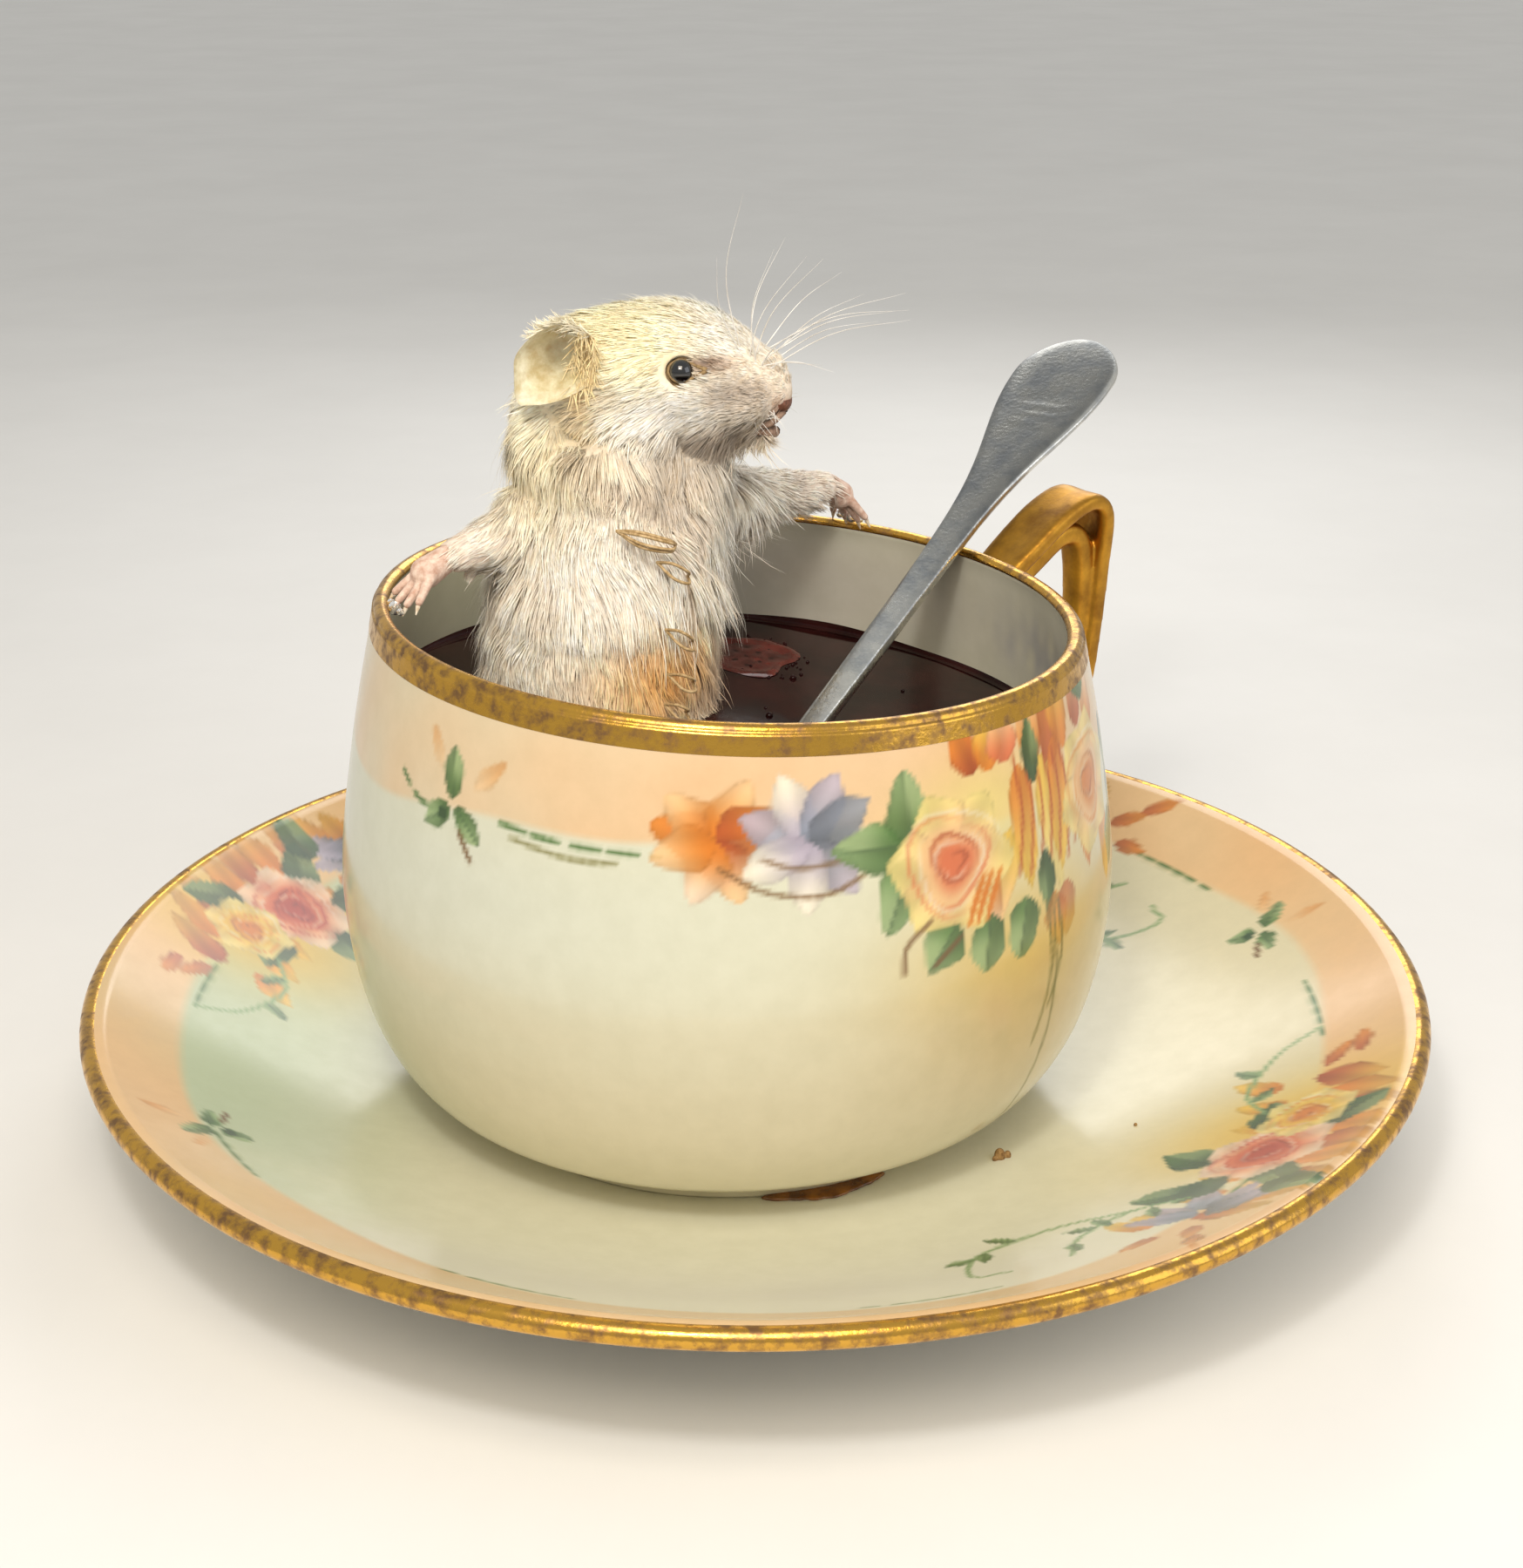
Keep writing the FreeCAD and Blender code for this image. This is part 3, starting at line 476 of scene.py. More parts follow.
@dataclass
class Canvas:
    """Colours at points of a surface, painted one stroke over another in millimetres along it."""

    u: Array
    v: Array
    rgb: Array
    lap: float = 0.0            # length once round, where the surface closes on itself

    def offset(self, at: Point) -> tuple[Array, Array]:
        """How far each point is from one place."""
        du = self.u - at[0]
        if self.lap:
            du = (du + self.lap / 2) % self.lap - self.lap / 2
        return du, self.v - at[1]

    def lay(self, chosen: Array, mask: Array, tone: Array) -> None:
        """Cover chosen points with a tone by a mask from 0 to 1."""
        mask = np.clip(mask, 0, 1)[:, None]
        self.rgb[chosen] += (tone - self.rgb[chosen]) * mask

    def wash(self, at: Point, wide: float, tall: float, ink: Ink, strength: float) -> None:
        """Soft cloud of colour."""
        du, dv = self.offset(at)
        near = np.flatnonzero((np.abs(du) < 2.5 * wide) & (np.abs(dv) < 2.5 * tall))
        self.lay(near, strength * np.exp(-(du[near] / wide) ** 2 - (dv[near] / tall) ** 2), ink.tone)

    def petal(self, at: Point, heading: float, length: float, width: float, root: Ink, tip: Ink,
              strength: float = 0.9, rib: Optional[Ink] = None) -> None:
        """Brush-shaped petal or leaf.

        Args:
            at: its root.
            heading: degrees from the first direction towards the second.
            length, width: its size.
            root, tip: its colours.
            strength: how well it covers.
            rib: colour of the middle vein of a leaf.
        """
        du, dv = self.offset(at)
        near = np.flatnonzero((np.abs(du) < 1.3 * length) & (np.abs(dv) < 1.3 * length))
        du, dv = du[near], dv[near]
        a = math.radians(heading)
        s = (du * math.cos(a) + dv * math.sin(a)) / length
        t = dv * math.cos(a) - du * math.sin(a)
        body = np.clip(s, 0, 1)
        half = 0.5 * width * np.sin(math.pi * body ** 0.8) ** 0.75
        half = half * (1 + 0.10 * np.sin(9 * s + at[0]))
        inside = smoothstep(-0.12, 0.22, half - np.abs(t)) * ((s > 0) & (s < 1))
        tone = root.tone + (tip.tone - root.tone) * smoothstep(0.05, 0.9, s)[:, None]
        streak = 0.06 * np.sin(t * 9.0 / max(width, 0.5) + 3 * s + at[1])
        pool = -0.10 * smoothstep(0.5, 0.1, half - np.abs(t))
        tone = tone * (1 + streak + pool)[:, None]
        if rib is not None:
            side = smoothstep(-0.05, 0.3, t)[:, None]
            fade = 0.42 * (1 - side) * smoothstep(0.15, 0.6, s)[:, None]
            tone = tone + (Ink.PALE_LEAF.tone - tone) * fade
            tone = tone * (1 - 0.12 * side)
            vein = 0.6 * smoothstep(0.26, 0.05, np.abs(t))[:, None]
            tone = tone + (rib.tone - tone) * vein
        self.lay(near, inside * strength, tone)

    def rose(self, at: Point, radius: float, core: Ink, body: Ink, edge: Ink) -> None:
        """Cupped rose: pale outer petals round a deep curled middle."""
        for k in range(6):
            heading = 60 * k + 17 * at[1]
            a = math.radians(heading)
            root = (at[0] + 0.25 * radius * math.cos(a), at[1] + 0.25 * radius * math.sin(a))
            self.petal(root, heading, 0.95 * radius, 1.05 * radius, body, edge, 0.9)
        du, dv = self.offset(at)
        near = np.flatnonzero(np.hypot(du, dv) < 1.2 * radius)
        du, dv = du[near], dv[near]
        phi = np.arctan2(dv, du)
        r = np.hypot(du, dv) / radius * (1 + 0.1 * np.sin(3 * phi + at[0]))
        self.lay(near, 0.9 * smoothstep(0.68, 0.52, r), body.tone)
        self.lay(near, 0.92 * smoothstep(0.56, 0.2, r), core.tone)
        for k, ring in enumerate((0.17, 0.3, 0.44, 0.6, 0.8)):
            crescent = smoothstep(0.055, 0.02, np.abs(r - ring - 0.05 * np.sin(2 * phi + 2.1 * k)))
            turn = np.clip(0.35 + 0.65 * np.sin(phi + 2.4 * k + at[1]), 0, 1)
            dark = core.tone * (0.82 if k < 3 else 1.0)
            self.lay(near, crescent * turn * (0.9 - 0.1 * k), dark)
            glint = smoothstep(0.05, 0.02, np.abs(r - ring - 0.06))
            self.lay(near, glint * np.clip(-np.sin(phi + 2.4 * k), 0, 1) * 0.45, Ink.WHITE.tone)

    def stroke(self, points: Sequence[Point], width: float, ink: Ink, strength: float = 0.85,
               gaps: float = 0.0) -> None:
        """Thin brush line, which thins at its ends and may break into dashes.

        Args:
            points: places that it passes.
            width: its greatest width.
            ink: its colour.
            strength: how well it covers.
            gaps: length of one dash and its gap, or 0.
        """
        line = smooth_curve(points, max(8, 6 * len(points)))
        count = len(line) - 1
        for k, (a, b) in enumerate(zip(line, line[1:])):
            du, dv = self.offset((float(a[0]), float(a[1])))
            way = b - a
            length = float(np.hypot(*way)) or 1e-6
            near = np.flatnonzero((np.abs(du) < length + width) & (np.abs(dv) < length + width))
            t = np.clip((du[near] * way[0] + dv[near] * way[1]) / length ** 2, 0, 1)
            gap = np.hypot(du[near] - t * way[0], dv[near] - t * way[1])
            half = max(0.2, 0.62 * width * math.sin(math.pi * (0.12 + 0.8 * k / count)) ** 0.7)
            mask = strength * smoothstep(half + 0.24, half - 0.16, gap)
            if gaps:
                mask = mask * (math.sin(2 * math.pi * k * length / gaps) > -0.6)
            self.lay(near, mask, ink.tone)


class Garland:
    """The flowers that both porcelain pieces share, set out about an anchor that may be turned."""

    def __init__(self, canvas: Canvas, anchor: Point, turn: float = 0.0, size: float = 1.0,
                 mirror: bool = False) -> None:
        """Keep the canvas and the anchor's place, turn in degrees, size and handedness."""
        self.canvas = canvas
        self.anchor = anchor
        self.turn = math.radians(turn)
        self.size = size
        self.hand = -1.0 if mirror else 1.0

    def at(self, x: float, y: float) -> Point:
        """A place near the anchor."""
        x *= self.hand * self.size
        y *= self.size
        c, s = math.cos(self.turn), math.sin(self.turn)
        return self.anchor[0] + c * x - s * y, self.anchor[1] + s * x + c * y

    def way(self, heading: float) -> float:
        """A heading near the anchor."""
        if self.hand < 0:
            heading = 180 - heading
        return heading + math.degrees(self.turn)

    def leaf(self, x: float, y: float, heading: float, length: float = 5.4, width: float = 3.6,
             root: Ink = Ink.GREEN, tip: Ink = Ink.LEAF) -> None:
        """One leaf with its rib."""
        self.petal(x, y, heading, length, width, root, tip, 0.9, Ink.DARK_GREEN)

    def petal(self, x: float, y: float, heading: float, length: float, width: float, root: Ink, tip: Ink,
              strength: float = 0.85, rib: Optional[Ink] = None) -> None:
        """One petal, or a leaf when it has a rib."""
        self.canvas.petal(self.at(x, y), self.way(heading), length * self.size, width * self.size, root, tip,
                          strength, rib)

    def line(self, points: Sequence[Point], width: float, ink: Ink, strength: float = 0.8,
             gaps: float = 0.0) -> None:
        """One thin line."""
        self.canvas.stroke([self.at(*p) for p in points], width, ink, strength, gaps)

    def sprig(self) -> None:
        """Three small leaves about a dark berry, with two washed-out buds."""
        self.petal(3.2, 2.2, 42, 5.2, 2.0, Ink.PEACH, Ink.ORANGE, 0.4)
        self.petal(-1.6, 3.4, 118, 4.4, 1.8, Ink.PEACH, Ink.ORANGE, 0.35)
        self.leaf(0.4, 0.6, 94, 5.4, 2.9)
        self.leaf(0.0, -0.2, 216, 4.2, 3.0)
        self.leaf(0.9, -0.1, -42, 4.8, 2.6)
        self.line([(-1.0, -0.9), (-0.8, -1.3)], 0.9, Ink.DARK_GREEN, 0.95)
        self.line([(1.6, -2.4), (3.4, -5.0)], 0.3, Ink.BROWN, 0.7)

    def flower(self, petals: Sequence[tuple[float, Ink, Ink]], length: float, width: float,
               strength: float) -> None:
        """Loose flower with a petal for each heading, root and tip."""
        for heading, root, tip in petals:
            self.petal(0, 0, heading, length, width, root, tip, strength)

    def orange_flower(self) -> None:
        """Loose flower of orange petals."""
        self.flower(((168, Ink.RUST, Ink.ORANGE), (140, Ink.ORANGE, Ink.PEACH), (60, Ink.ORANGE, Ink.PEACH),
                     (22, Ink.RUST, Ink.ORANGE), (-68, Ink.RUST, Ink.PEACH), (-110, Ink.ORANGE, Ink.BLUSH),
                     (198, Ink.ORANGE, Ink.PEACH)), 6.6, 4.6, 0.85)

    def lilac_flower(self) -> None:
        """Loose flower of lilac and slate petals with brown stamens."""
        self.flower(((158, Ink.BLUE_GREY, Ink.LILAC), (112, Ink.LILAC, Ink.WHITE),
                     (64, Ink.BLUE_GREY, Ink.LILAC), (30, Ink.SLATE, Ink.BLUE_GREY),
                     (-48, Ink.SLATE, Ink.LILAC), (-92, Ink.LILAC, Ink.WHITE), (206, Ink.LILAC, Ink.WHITE)),
                    7.2, 4.2, 0.88)
        self.line([(-8.5, -2.2), (-4.0, -4.6), (1.5, -5.2), (5.5, -3.6)], 0.3, Ink.BROWN, 0.5)
        self.line([(-4.5, -1.4), (-1.0, -2.4), (4.0, -2.0)], 0.28, Ink.BROWN, 0.4)

    def roses(self) -> None:
        """Two full roses with a yellow bloom between, buds above and dark leaves."""
        c = self.canvas
        c.wash(self.at(8, -17), 17 * self.size, 11 * self.size, Ink.OCHRE, 0.38)
        c.wash(self.at(5, -11), 13 * self.size, 6 * self.size, Ink.YELLOW, 0.45)
        c.wash(self.at(1, 3), 9 * self.size, 5 * self.size, Ink.PALE_YELLOW, 0.9)
        for x, y, heading, length, root, tip in (
                (9, 5, 94, 9, Ink.ORANGE, Ink.PEACH), (12, 4, 86, 10, Ink.RUST, Ink.ORANGE),
                (15, 5, 96, 9, Ink.ORANGE, Ink.YELLOW), (19, 6, 84, 8, Ink.RUST, Ink.PEACH),
                (6, 6, -88, 13, Ink.ORANGE, Ink.YELLOW), (10, 6, -84, 15, Ink.YELLOW, Ink.PALE_YELLOW),
                (13, 7, -94, 14, Ink.ORANGE, Ink.YELLOW), (16, 4, -80, 13, Ink.RUST, Ink.ORANGE),
                (4, 0, -110, 11, Ink.YELLOW, Ink.PEACH), (1, -3, -104, 8, Ink.ORANGE, Ink.BLUSH),
                (23, 4, 80, 8, Ink.ORANGE, Ink.BLUSH), (24, -4, -88, 9, Ink.ORANGE, Ink.YELLOW)):
            self.petal(x, y, heading, length, 4.2, root, tip, 0.85)
        for k in range(9):
            x = 5.5 + 1.7 * k
            self.line([(x, 7 - 0.3 * k), (x + 0.5, 1), (x - 0.6, -5 - 0.5 * (k % 3))], 0.35, Ink.RUST, 0.5)
        for x, y, heading, length in ((-8.2, 1.0, 92, 7.6), (-9.0, 1.2, 176, 7.4), (-8.2, 0.0, 248, 8.0),
                                      (-3.6, -7.6, 232, 5.6), (0.4, -7.8, 262, 6.0), (5.6, -7.6, 256, 6.4),
                                      (22, 8, 100, 6.0), (28, -6, 250, 6.5)):
            self.leaf(x, y, heading, length, 4.8)
        for x, y, heading in ((8.3, 3.4, 88), (9.0, -3.6, -90), (29.5, 4, -86), (30, -2, -94)):
            self.leaf(x, y, heading, 7.0, 2.9, Ink.DARK_GREEN, Ink.GREEN)
        self.petal(0.4, 6.8, 128, 5.0, 4.0, Ink.RUST, Ink.ORANGE, 0.95)
        self.petal(1.4, 6.4, 74, 5.2, 4.2, Ink.ORANGE, Ink.YELLOW, 0.9)
        self.petal(4.4, 6.6, 96, 5.6, 4.6, Ink.CORAL, Ink.PEACH, 0.9)
        self.petal(10.0, -8.6, -84, 6.0, 4.0, Ink.ORANGE, Ink.OCHRE, 0.7)
        self.petal(12.5, -8.2, -96, 6.0, 4.0, Ink.RUST, Ink.OCHRE, 0.6)
        c.rose(self.at(-3.4, -1.6), 6.4 * self.size, Ink.CORAL, Ink.PEACH, Ink.PALE_YELLOW)
        c.rose(self.at(20.5, -0.4), 6.4 * self.size, Ink.ORANGE, Ink.PEACH, Ink.PALE_YELLOW)
        for x in (-1.4, -0.4, 0.8):
            self.line([(x + 1.4, -3.6), (x, -6.2), (x - 0.8, -8.2)], 0.45, Ink.ORANGE, 0.7)
        for x, length in ((8.6, 16), (10.4, 12), (9.6, 27)):
            self.line([(x, -9), (x + 0.7, -9 - 0.5 * length), (x - 0.9, -9 - length)], 0.32, Ink.OLIVE, 0.6)
        self.line([(-6.4, -6.6), (-9.2, -8.8), (-9.6, -11.6)], 0.3, Ink.BROWN, 0.5)
        self.line([(-3.2, -9.0), (-6.4, -11.4)], 0.35, Ink.BROWN, 0.6)

    def tendril(self, points: Sequence[Point], leaves: Sequence[tuple[float, float, float]]) -> None:
        """Curling stem with small leaves."""
        self.line(points, 0.4, Ink.LEAF, 0.8)
        for x, y, heading in leaves:
            self.leaf(x, y, heading, 3.4, 1.7, Ink.LEAF, Ink.GREEN)


# ---------------------------------------------------------------- porcelain
@dataclass
class Teacup:
    """The bowl: an upright turned wall whose rim leans, painted outside and glazed inside."""

    wall: float = 2.4
    lip: float = 1.6
    lip_round: float = 0.75
    foot_r: float = 29.3
    foot_w: float = 2.8
    foot_h: float = 2.0
    rim_r: float = 38.0
    floor_z: float = 4.4
    height: float = 56.7
    lean: float = 2.9
    columns: int = 600
    gold_out: float = 2.1       # how far the gilding comes down outside
    gold_in: float = 0.5
    gold_t: float = 0.04
    paint_r: float = 40.0       # radius at which the painting's lengths are true
    low: Array = field(default_factory=lambda: box_of("cup")[0])
    high: Array = field(default_factory=lambda: box_of("cup")[1])

    def __post_init__(self) -> None:
        """Work out the bowl's axis, its belly and its two profiles."""
        self.axis = float(self.low[0] + self.high[0]) / 2
        self.belly = float(self.high[1] - self.low[1]) / 2
        self.base = float(self.low[2])
        self.rim_z = self.base + self.height
        self.belly_z = self.base + 0.48 * self.height
        low = [(self.foot_r + 0.4, self.base + self.foot_h),
               (0.855 * self.belly, self.base + 0.1 * self.height)]
        self.outer = self.wall_curve(low, self.belly, self.rim_r)
        floor = self.base + self.floor_z
        low = [(0.55 * self.belly, floor), (0.8 * self.belly, floor + 0.055 * self.height)]
        self.inner = self.wall_curve(low, self.belly - self.wall, self.rim_r - self.lip)

    def wall_curve(self, low: list[Point], belly: float, rim: float) -> Array:
        """One face of the wall, from its lowest places past the belly to above the rim."""
        upper = self.rim_z - self.belly_z
        side = [(belly - 1.7, self.base + 0.25 * self.height), (belly, self.belly_z),
                (belly - 0.4 * (belly - rim), self.belly_z + 0.52 * upper), (rim, self.rim_z),
                (rim - 0.5, self.rim_z + 4)]
        return smooth_curve(low + side, 400)

    def radius(self, z: Array, outer: bool) -> Array:
        """Wall radius at a height."""
        line = self.outer if outer else self.inner
        return np.interp(z, line[:, 1], line[:, 0])

    def turned(self, profile: Array, outer: Array, theta: Array) -> Array:
        """Points of a profile turned about the axis, with the upper part leaning to the rim.

        Args:
            profile: rows of radius and height.
            outer: whether each row is on the outside.
            theta: angles from the front towards +X.

        Returns:
            An array of rows by columns by three.
        """
        z0 = profile[:, 1][:, None]
        rim = self.rim_z - math.tan(math.radians(self.lean)) * self.rim_r * np.sin(theta)[None, :]
        share = np.clip((z0 - self.belly_z) / (self.rim_z - self.belly_z), 0, None)
        z = np.where(share > 0, self.belly_z + share * (rim - self.belly_z), z0)
        shift = np.where(outer[:, None], self.radius(z, True) - self.radius(z0, True),
                         self.radius(z, False) - self.radius(z0, False))
        r = profile[:, 0][:, None] + np.where(share > 0, shift, 0)
        x = self.axis + r * np.sin(theta)
        return np.stack([x, -r * np.cos(theta), z], axis=-1)

    def paint(self, points: Array, outer: Array) -> Array:
        """Colour of every vertex: the outside garland, the inside wash and bare glaze below."""
        flat = points.reshape(-1, 3)
        theta = np.arctan2(flat[:, 0] - self.axis, -flat[:, 1])
        z = flat[:, 2]
        rgb = np.tile(srgb("#E7EADA"), (len(flat), 1))
        shift(rgb, "#F1ECD6", smoothstep(self.belly_z + 8, self.base + 12, z))
        shift(rgb, "#E4EDEA", 0.6 * np.exp(-((np.degrees(theta) + 40) / 40) ** 2 - ((z - 42) / 9) ** 2))
        degree = math.radians(self.paint_r)
        out = np.repeat(outer, points.shape[1])
        canvas = Canvas(theta * self.paint_r, z, rgb, 2 * math.pi * self.paint_r)
        wave = 49.6 + 1.1 * np.sin(3 * theta + 1.6) + 0.7 * np.sin(7 * theta)
        pale = 0.75 + 0.25 * np.sin(2 * theta + 0.9) + 0.12 * ripple(flat, 14, 3)
        band = smoothstep(-0.5, 0.5, z - wave) * np.clip(pale, 0.35, 1) * smoothstep(66, 54, z) ** 0.35
        canvas.lay(np.arange(len(flat)), band, Ink.APRICOT.tone)
        for centre, mirror in ((0, False), (180, False), (-95, True)):
            self.garland(canvas, centre * degree, degree, mirror)
        inside = np.tile(srgb("#F2F0EA"), (len(flat), 1))
        shift(inside, "#EBEEDA", 0.8 * np.clip(0.5 + 0.5 * ripple(flat, 30, 8), 0, 1))
        lilac = np.exp(-((np.degrees(theta) - 108) / 14) ** 2 - ((z - 50) / 4) ** 2)
        shift(inside, "#B9BCCB", 0.7 * lilac * (0.5 + 0.5 * ripple(flat, 4, 5)))
        return np.where(out[:, None], canvas.rgb, inside)

    def garland(self, canvas: Canvas, base: float, degree: float, mirror: bool) -> None:
        """One length of the garland.

        Args:
            canvas: the outside of the bowl.
            base: where its middle is round the bowl.
            degree: millimetres round the bowl for one degree.
            mirror: whether this is the short one, with its roses turned over and smaller.
        """
        if not mirror:
            line = Garland(canvas, (base, 0.0))
            for points, width, ink, strength, gaps in (
                    (((-54, 51.2), (-50, 49.4), (-46, 48.8)), 0.36, Ink.GREEN, 0.8, 3.0),
                    (((-33, 49.6), (-24, 48.9), (-16, 48.7), (-9, 48.6)), 0.36, Ink.GREEN, 0.8, 4.0),
                    (((-31, 48.4), (-22, 47.5), (-15, 47.6)), 0.25, Ink.OLIVE, 0.5, 0.0)):
                line.line([(turn * degree, z) for turn, z in points], width, ink, strength, gaps)
            Garland(canvas, (base - 42.6 * degree, 49.9)).sprig()
            Garland(canvas, (base - 1.5 * degree, 50.3)).orange_flower()
            Garland(canvas, (base + 11.0 * degree, 49.8)).lilac_flower()
        hand, size = (-1, 0.8) if mirror else (1, 1.0)
        Garland(canvas, (base + hand * 37.5 * degree, 47.0), size=size, mirror=mirror).roses()

    def build(self) -> None:
        """Make the bowl and its gilt rim."""
        base, floor = self.base, self.inner[0, 1]
        foot_in = self.foot_r - self.foot_w
        top = self.rim_z - self.lip_round
        under = [(0.0, base + 1.2), (0.5 * foot_in, base + 1.2), (foot_in - 0.4, base + 1.2),
                 (foot_in, base + 0.8), (foot_in + 0.3, base), (self.foot_r - 0.3, base),
                 (self.foot_r, base + 0.4)]
        plain = self.outer[self.outer[:, 1] < 30]
        plain = plain[:: max(1, len(plain) // 26)]
        dense = np.arange(30.4, top, 0.36)
        fine = np.stack([self.radius(dense, True), dense], axis=1)
        arc = np.linspace(0, math.pi, 9)
        middle = self.rim_r - self.lip / 2
        lip = np.stack([middle + self.lip / 2 * np.cos(arc), top + self.lip_round * np.sin(arc)], axis=1)
        down = np.arange(top - 0.6, floor + 1.5, -1.5)
        wall = np.stack([self.radius(down, False), down], axis=1)
        bottom = [(0.55 * self.belly, floor), (0.3 * self.belly, floor), (0.0, floor)]
        profile = np.vstack([under, plain, fine, lip, wall, bottom])
        outer = np.arange(len(profile)) < len(under) + len(plain) + len(fine) + 5
        theta = whole_turn(self.columns) + math.pi
        points = self.turned(profile, outer, theta)
        cup = lathe_piece("cup_bowl", points, self.paint(points, outer))
        settle(cup, CUP_BODY, "porcelain_cup", PORCELAIN, "cup")
        self.gild(theta[::2])

    def gild(self, theta: Array) -> None:
        """Fired gold round the lip, a film on the glaze."""
        top = self.rim_z - self.lip_round
        outside = np.arange(top - self.gold_out, top, 0.3)
        inside = np.arange(top - 0.1, top - self.gold_in, -0.2)
        arc = np.linspace(0, math.pi, 11)
        t = self.gold_t
        lip = np.stack([self.rim_r - self.lip / 2 + (self.lip / 2 + t) * np.cos(arc),
                        top + (self.lip_round + t) * np.sin(arc)], axis=1)
        rows = np.vstack([np.stack([self.radius(outside, True) + t, outside], axis=1), lip,
                          np.stack([self.radius(inside, False) - t, inside], axis=1)])
        outer = np.arange(len(rows)) < len(outside) + 6
        points = self.turned(rows, outer, theta)
        ring = make_mesh("cup_rim_gilding", points.reshape(-1, 3), [grid_faces(len(rows), len(theta), True)])
        settle(ring, CUP_BODY, "gilding", RIM_GOLD)


def lathe_piece(name: str, points: Array, paint: Optional[Array] = None) -> bpy.types.Object:
    """Closed turned piece whose first and last rows are on the axis.

    Args:
        name: the piece's name.
        points: rows by columns by three.
        paint: colours in the same order.

    Returns:
        The object, with one vertex at each pole.
    """
    rows, columns = points.shape[:2]
    body = points[1:-1].reshape(-1, 3)
    flat = np.vstack([body, points[0].mean(axis=0), points[-1].mean(axis=0)])
    caps = np.vstack([fan(len(body), 0, columns, True),
                      fan(len(body) + 1, (rows - 3) * columns, columns, False)])
    colours = None
    if paint is not None:
        colours = np.vstack([paint[columns:-columns], paint[0], paint[-1]])
    return make_mesh(name, flat, [grid_faces(rows - 2, columns, True), caps], colours)


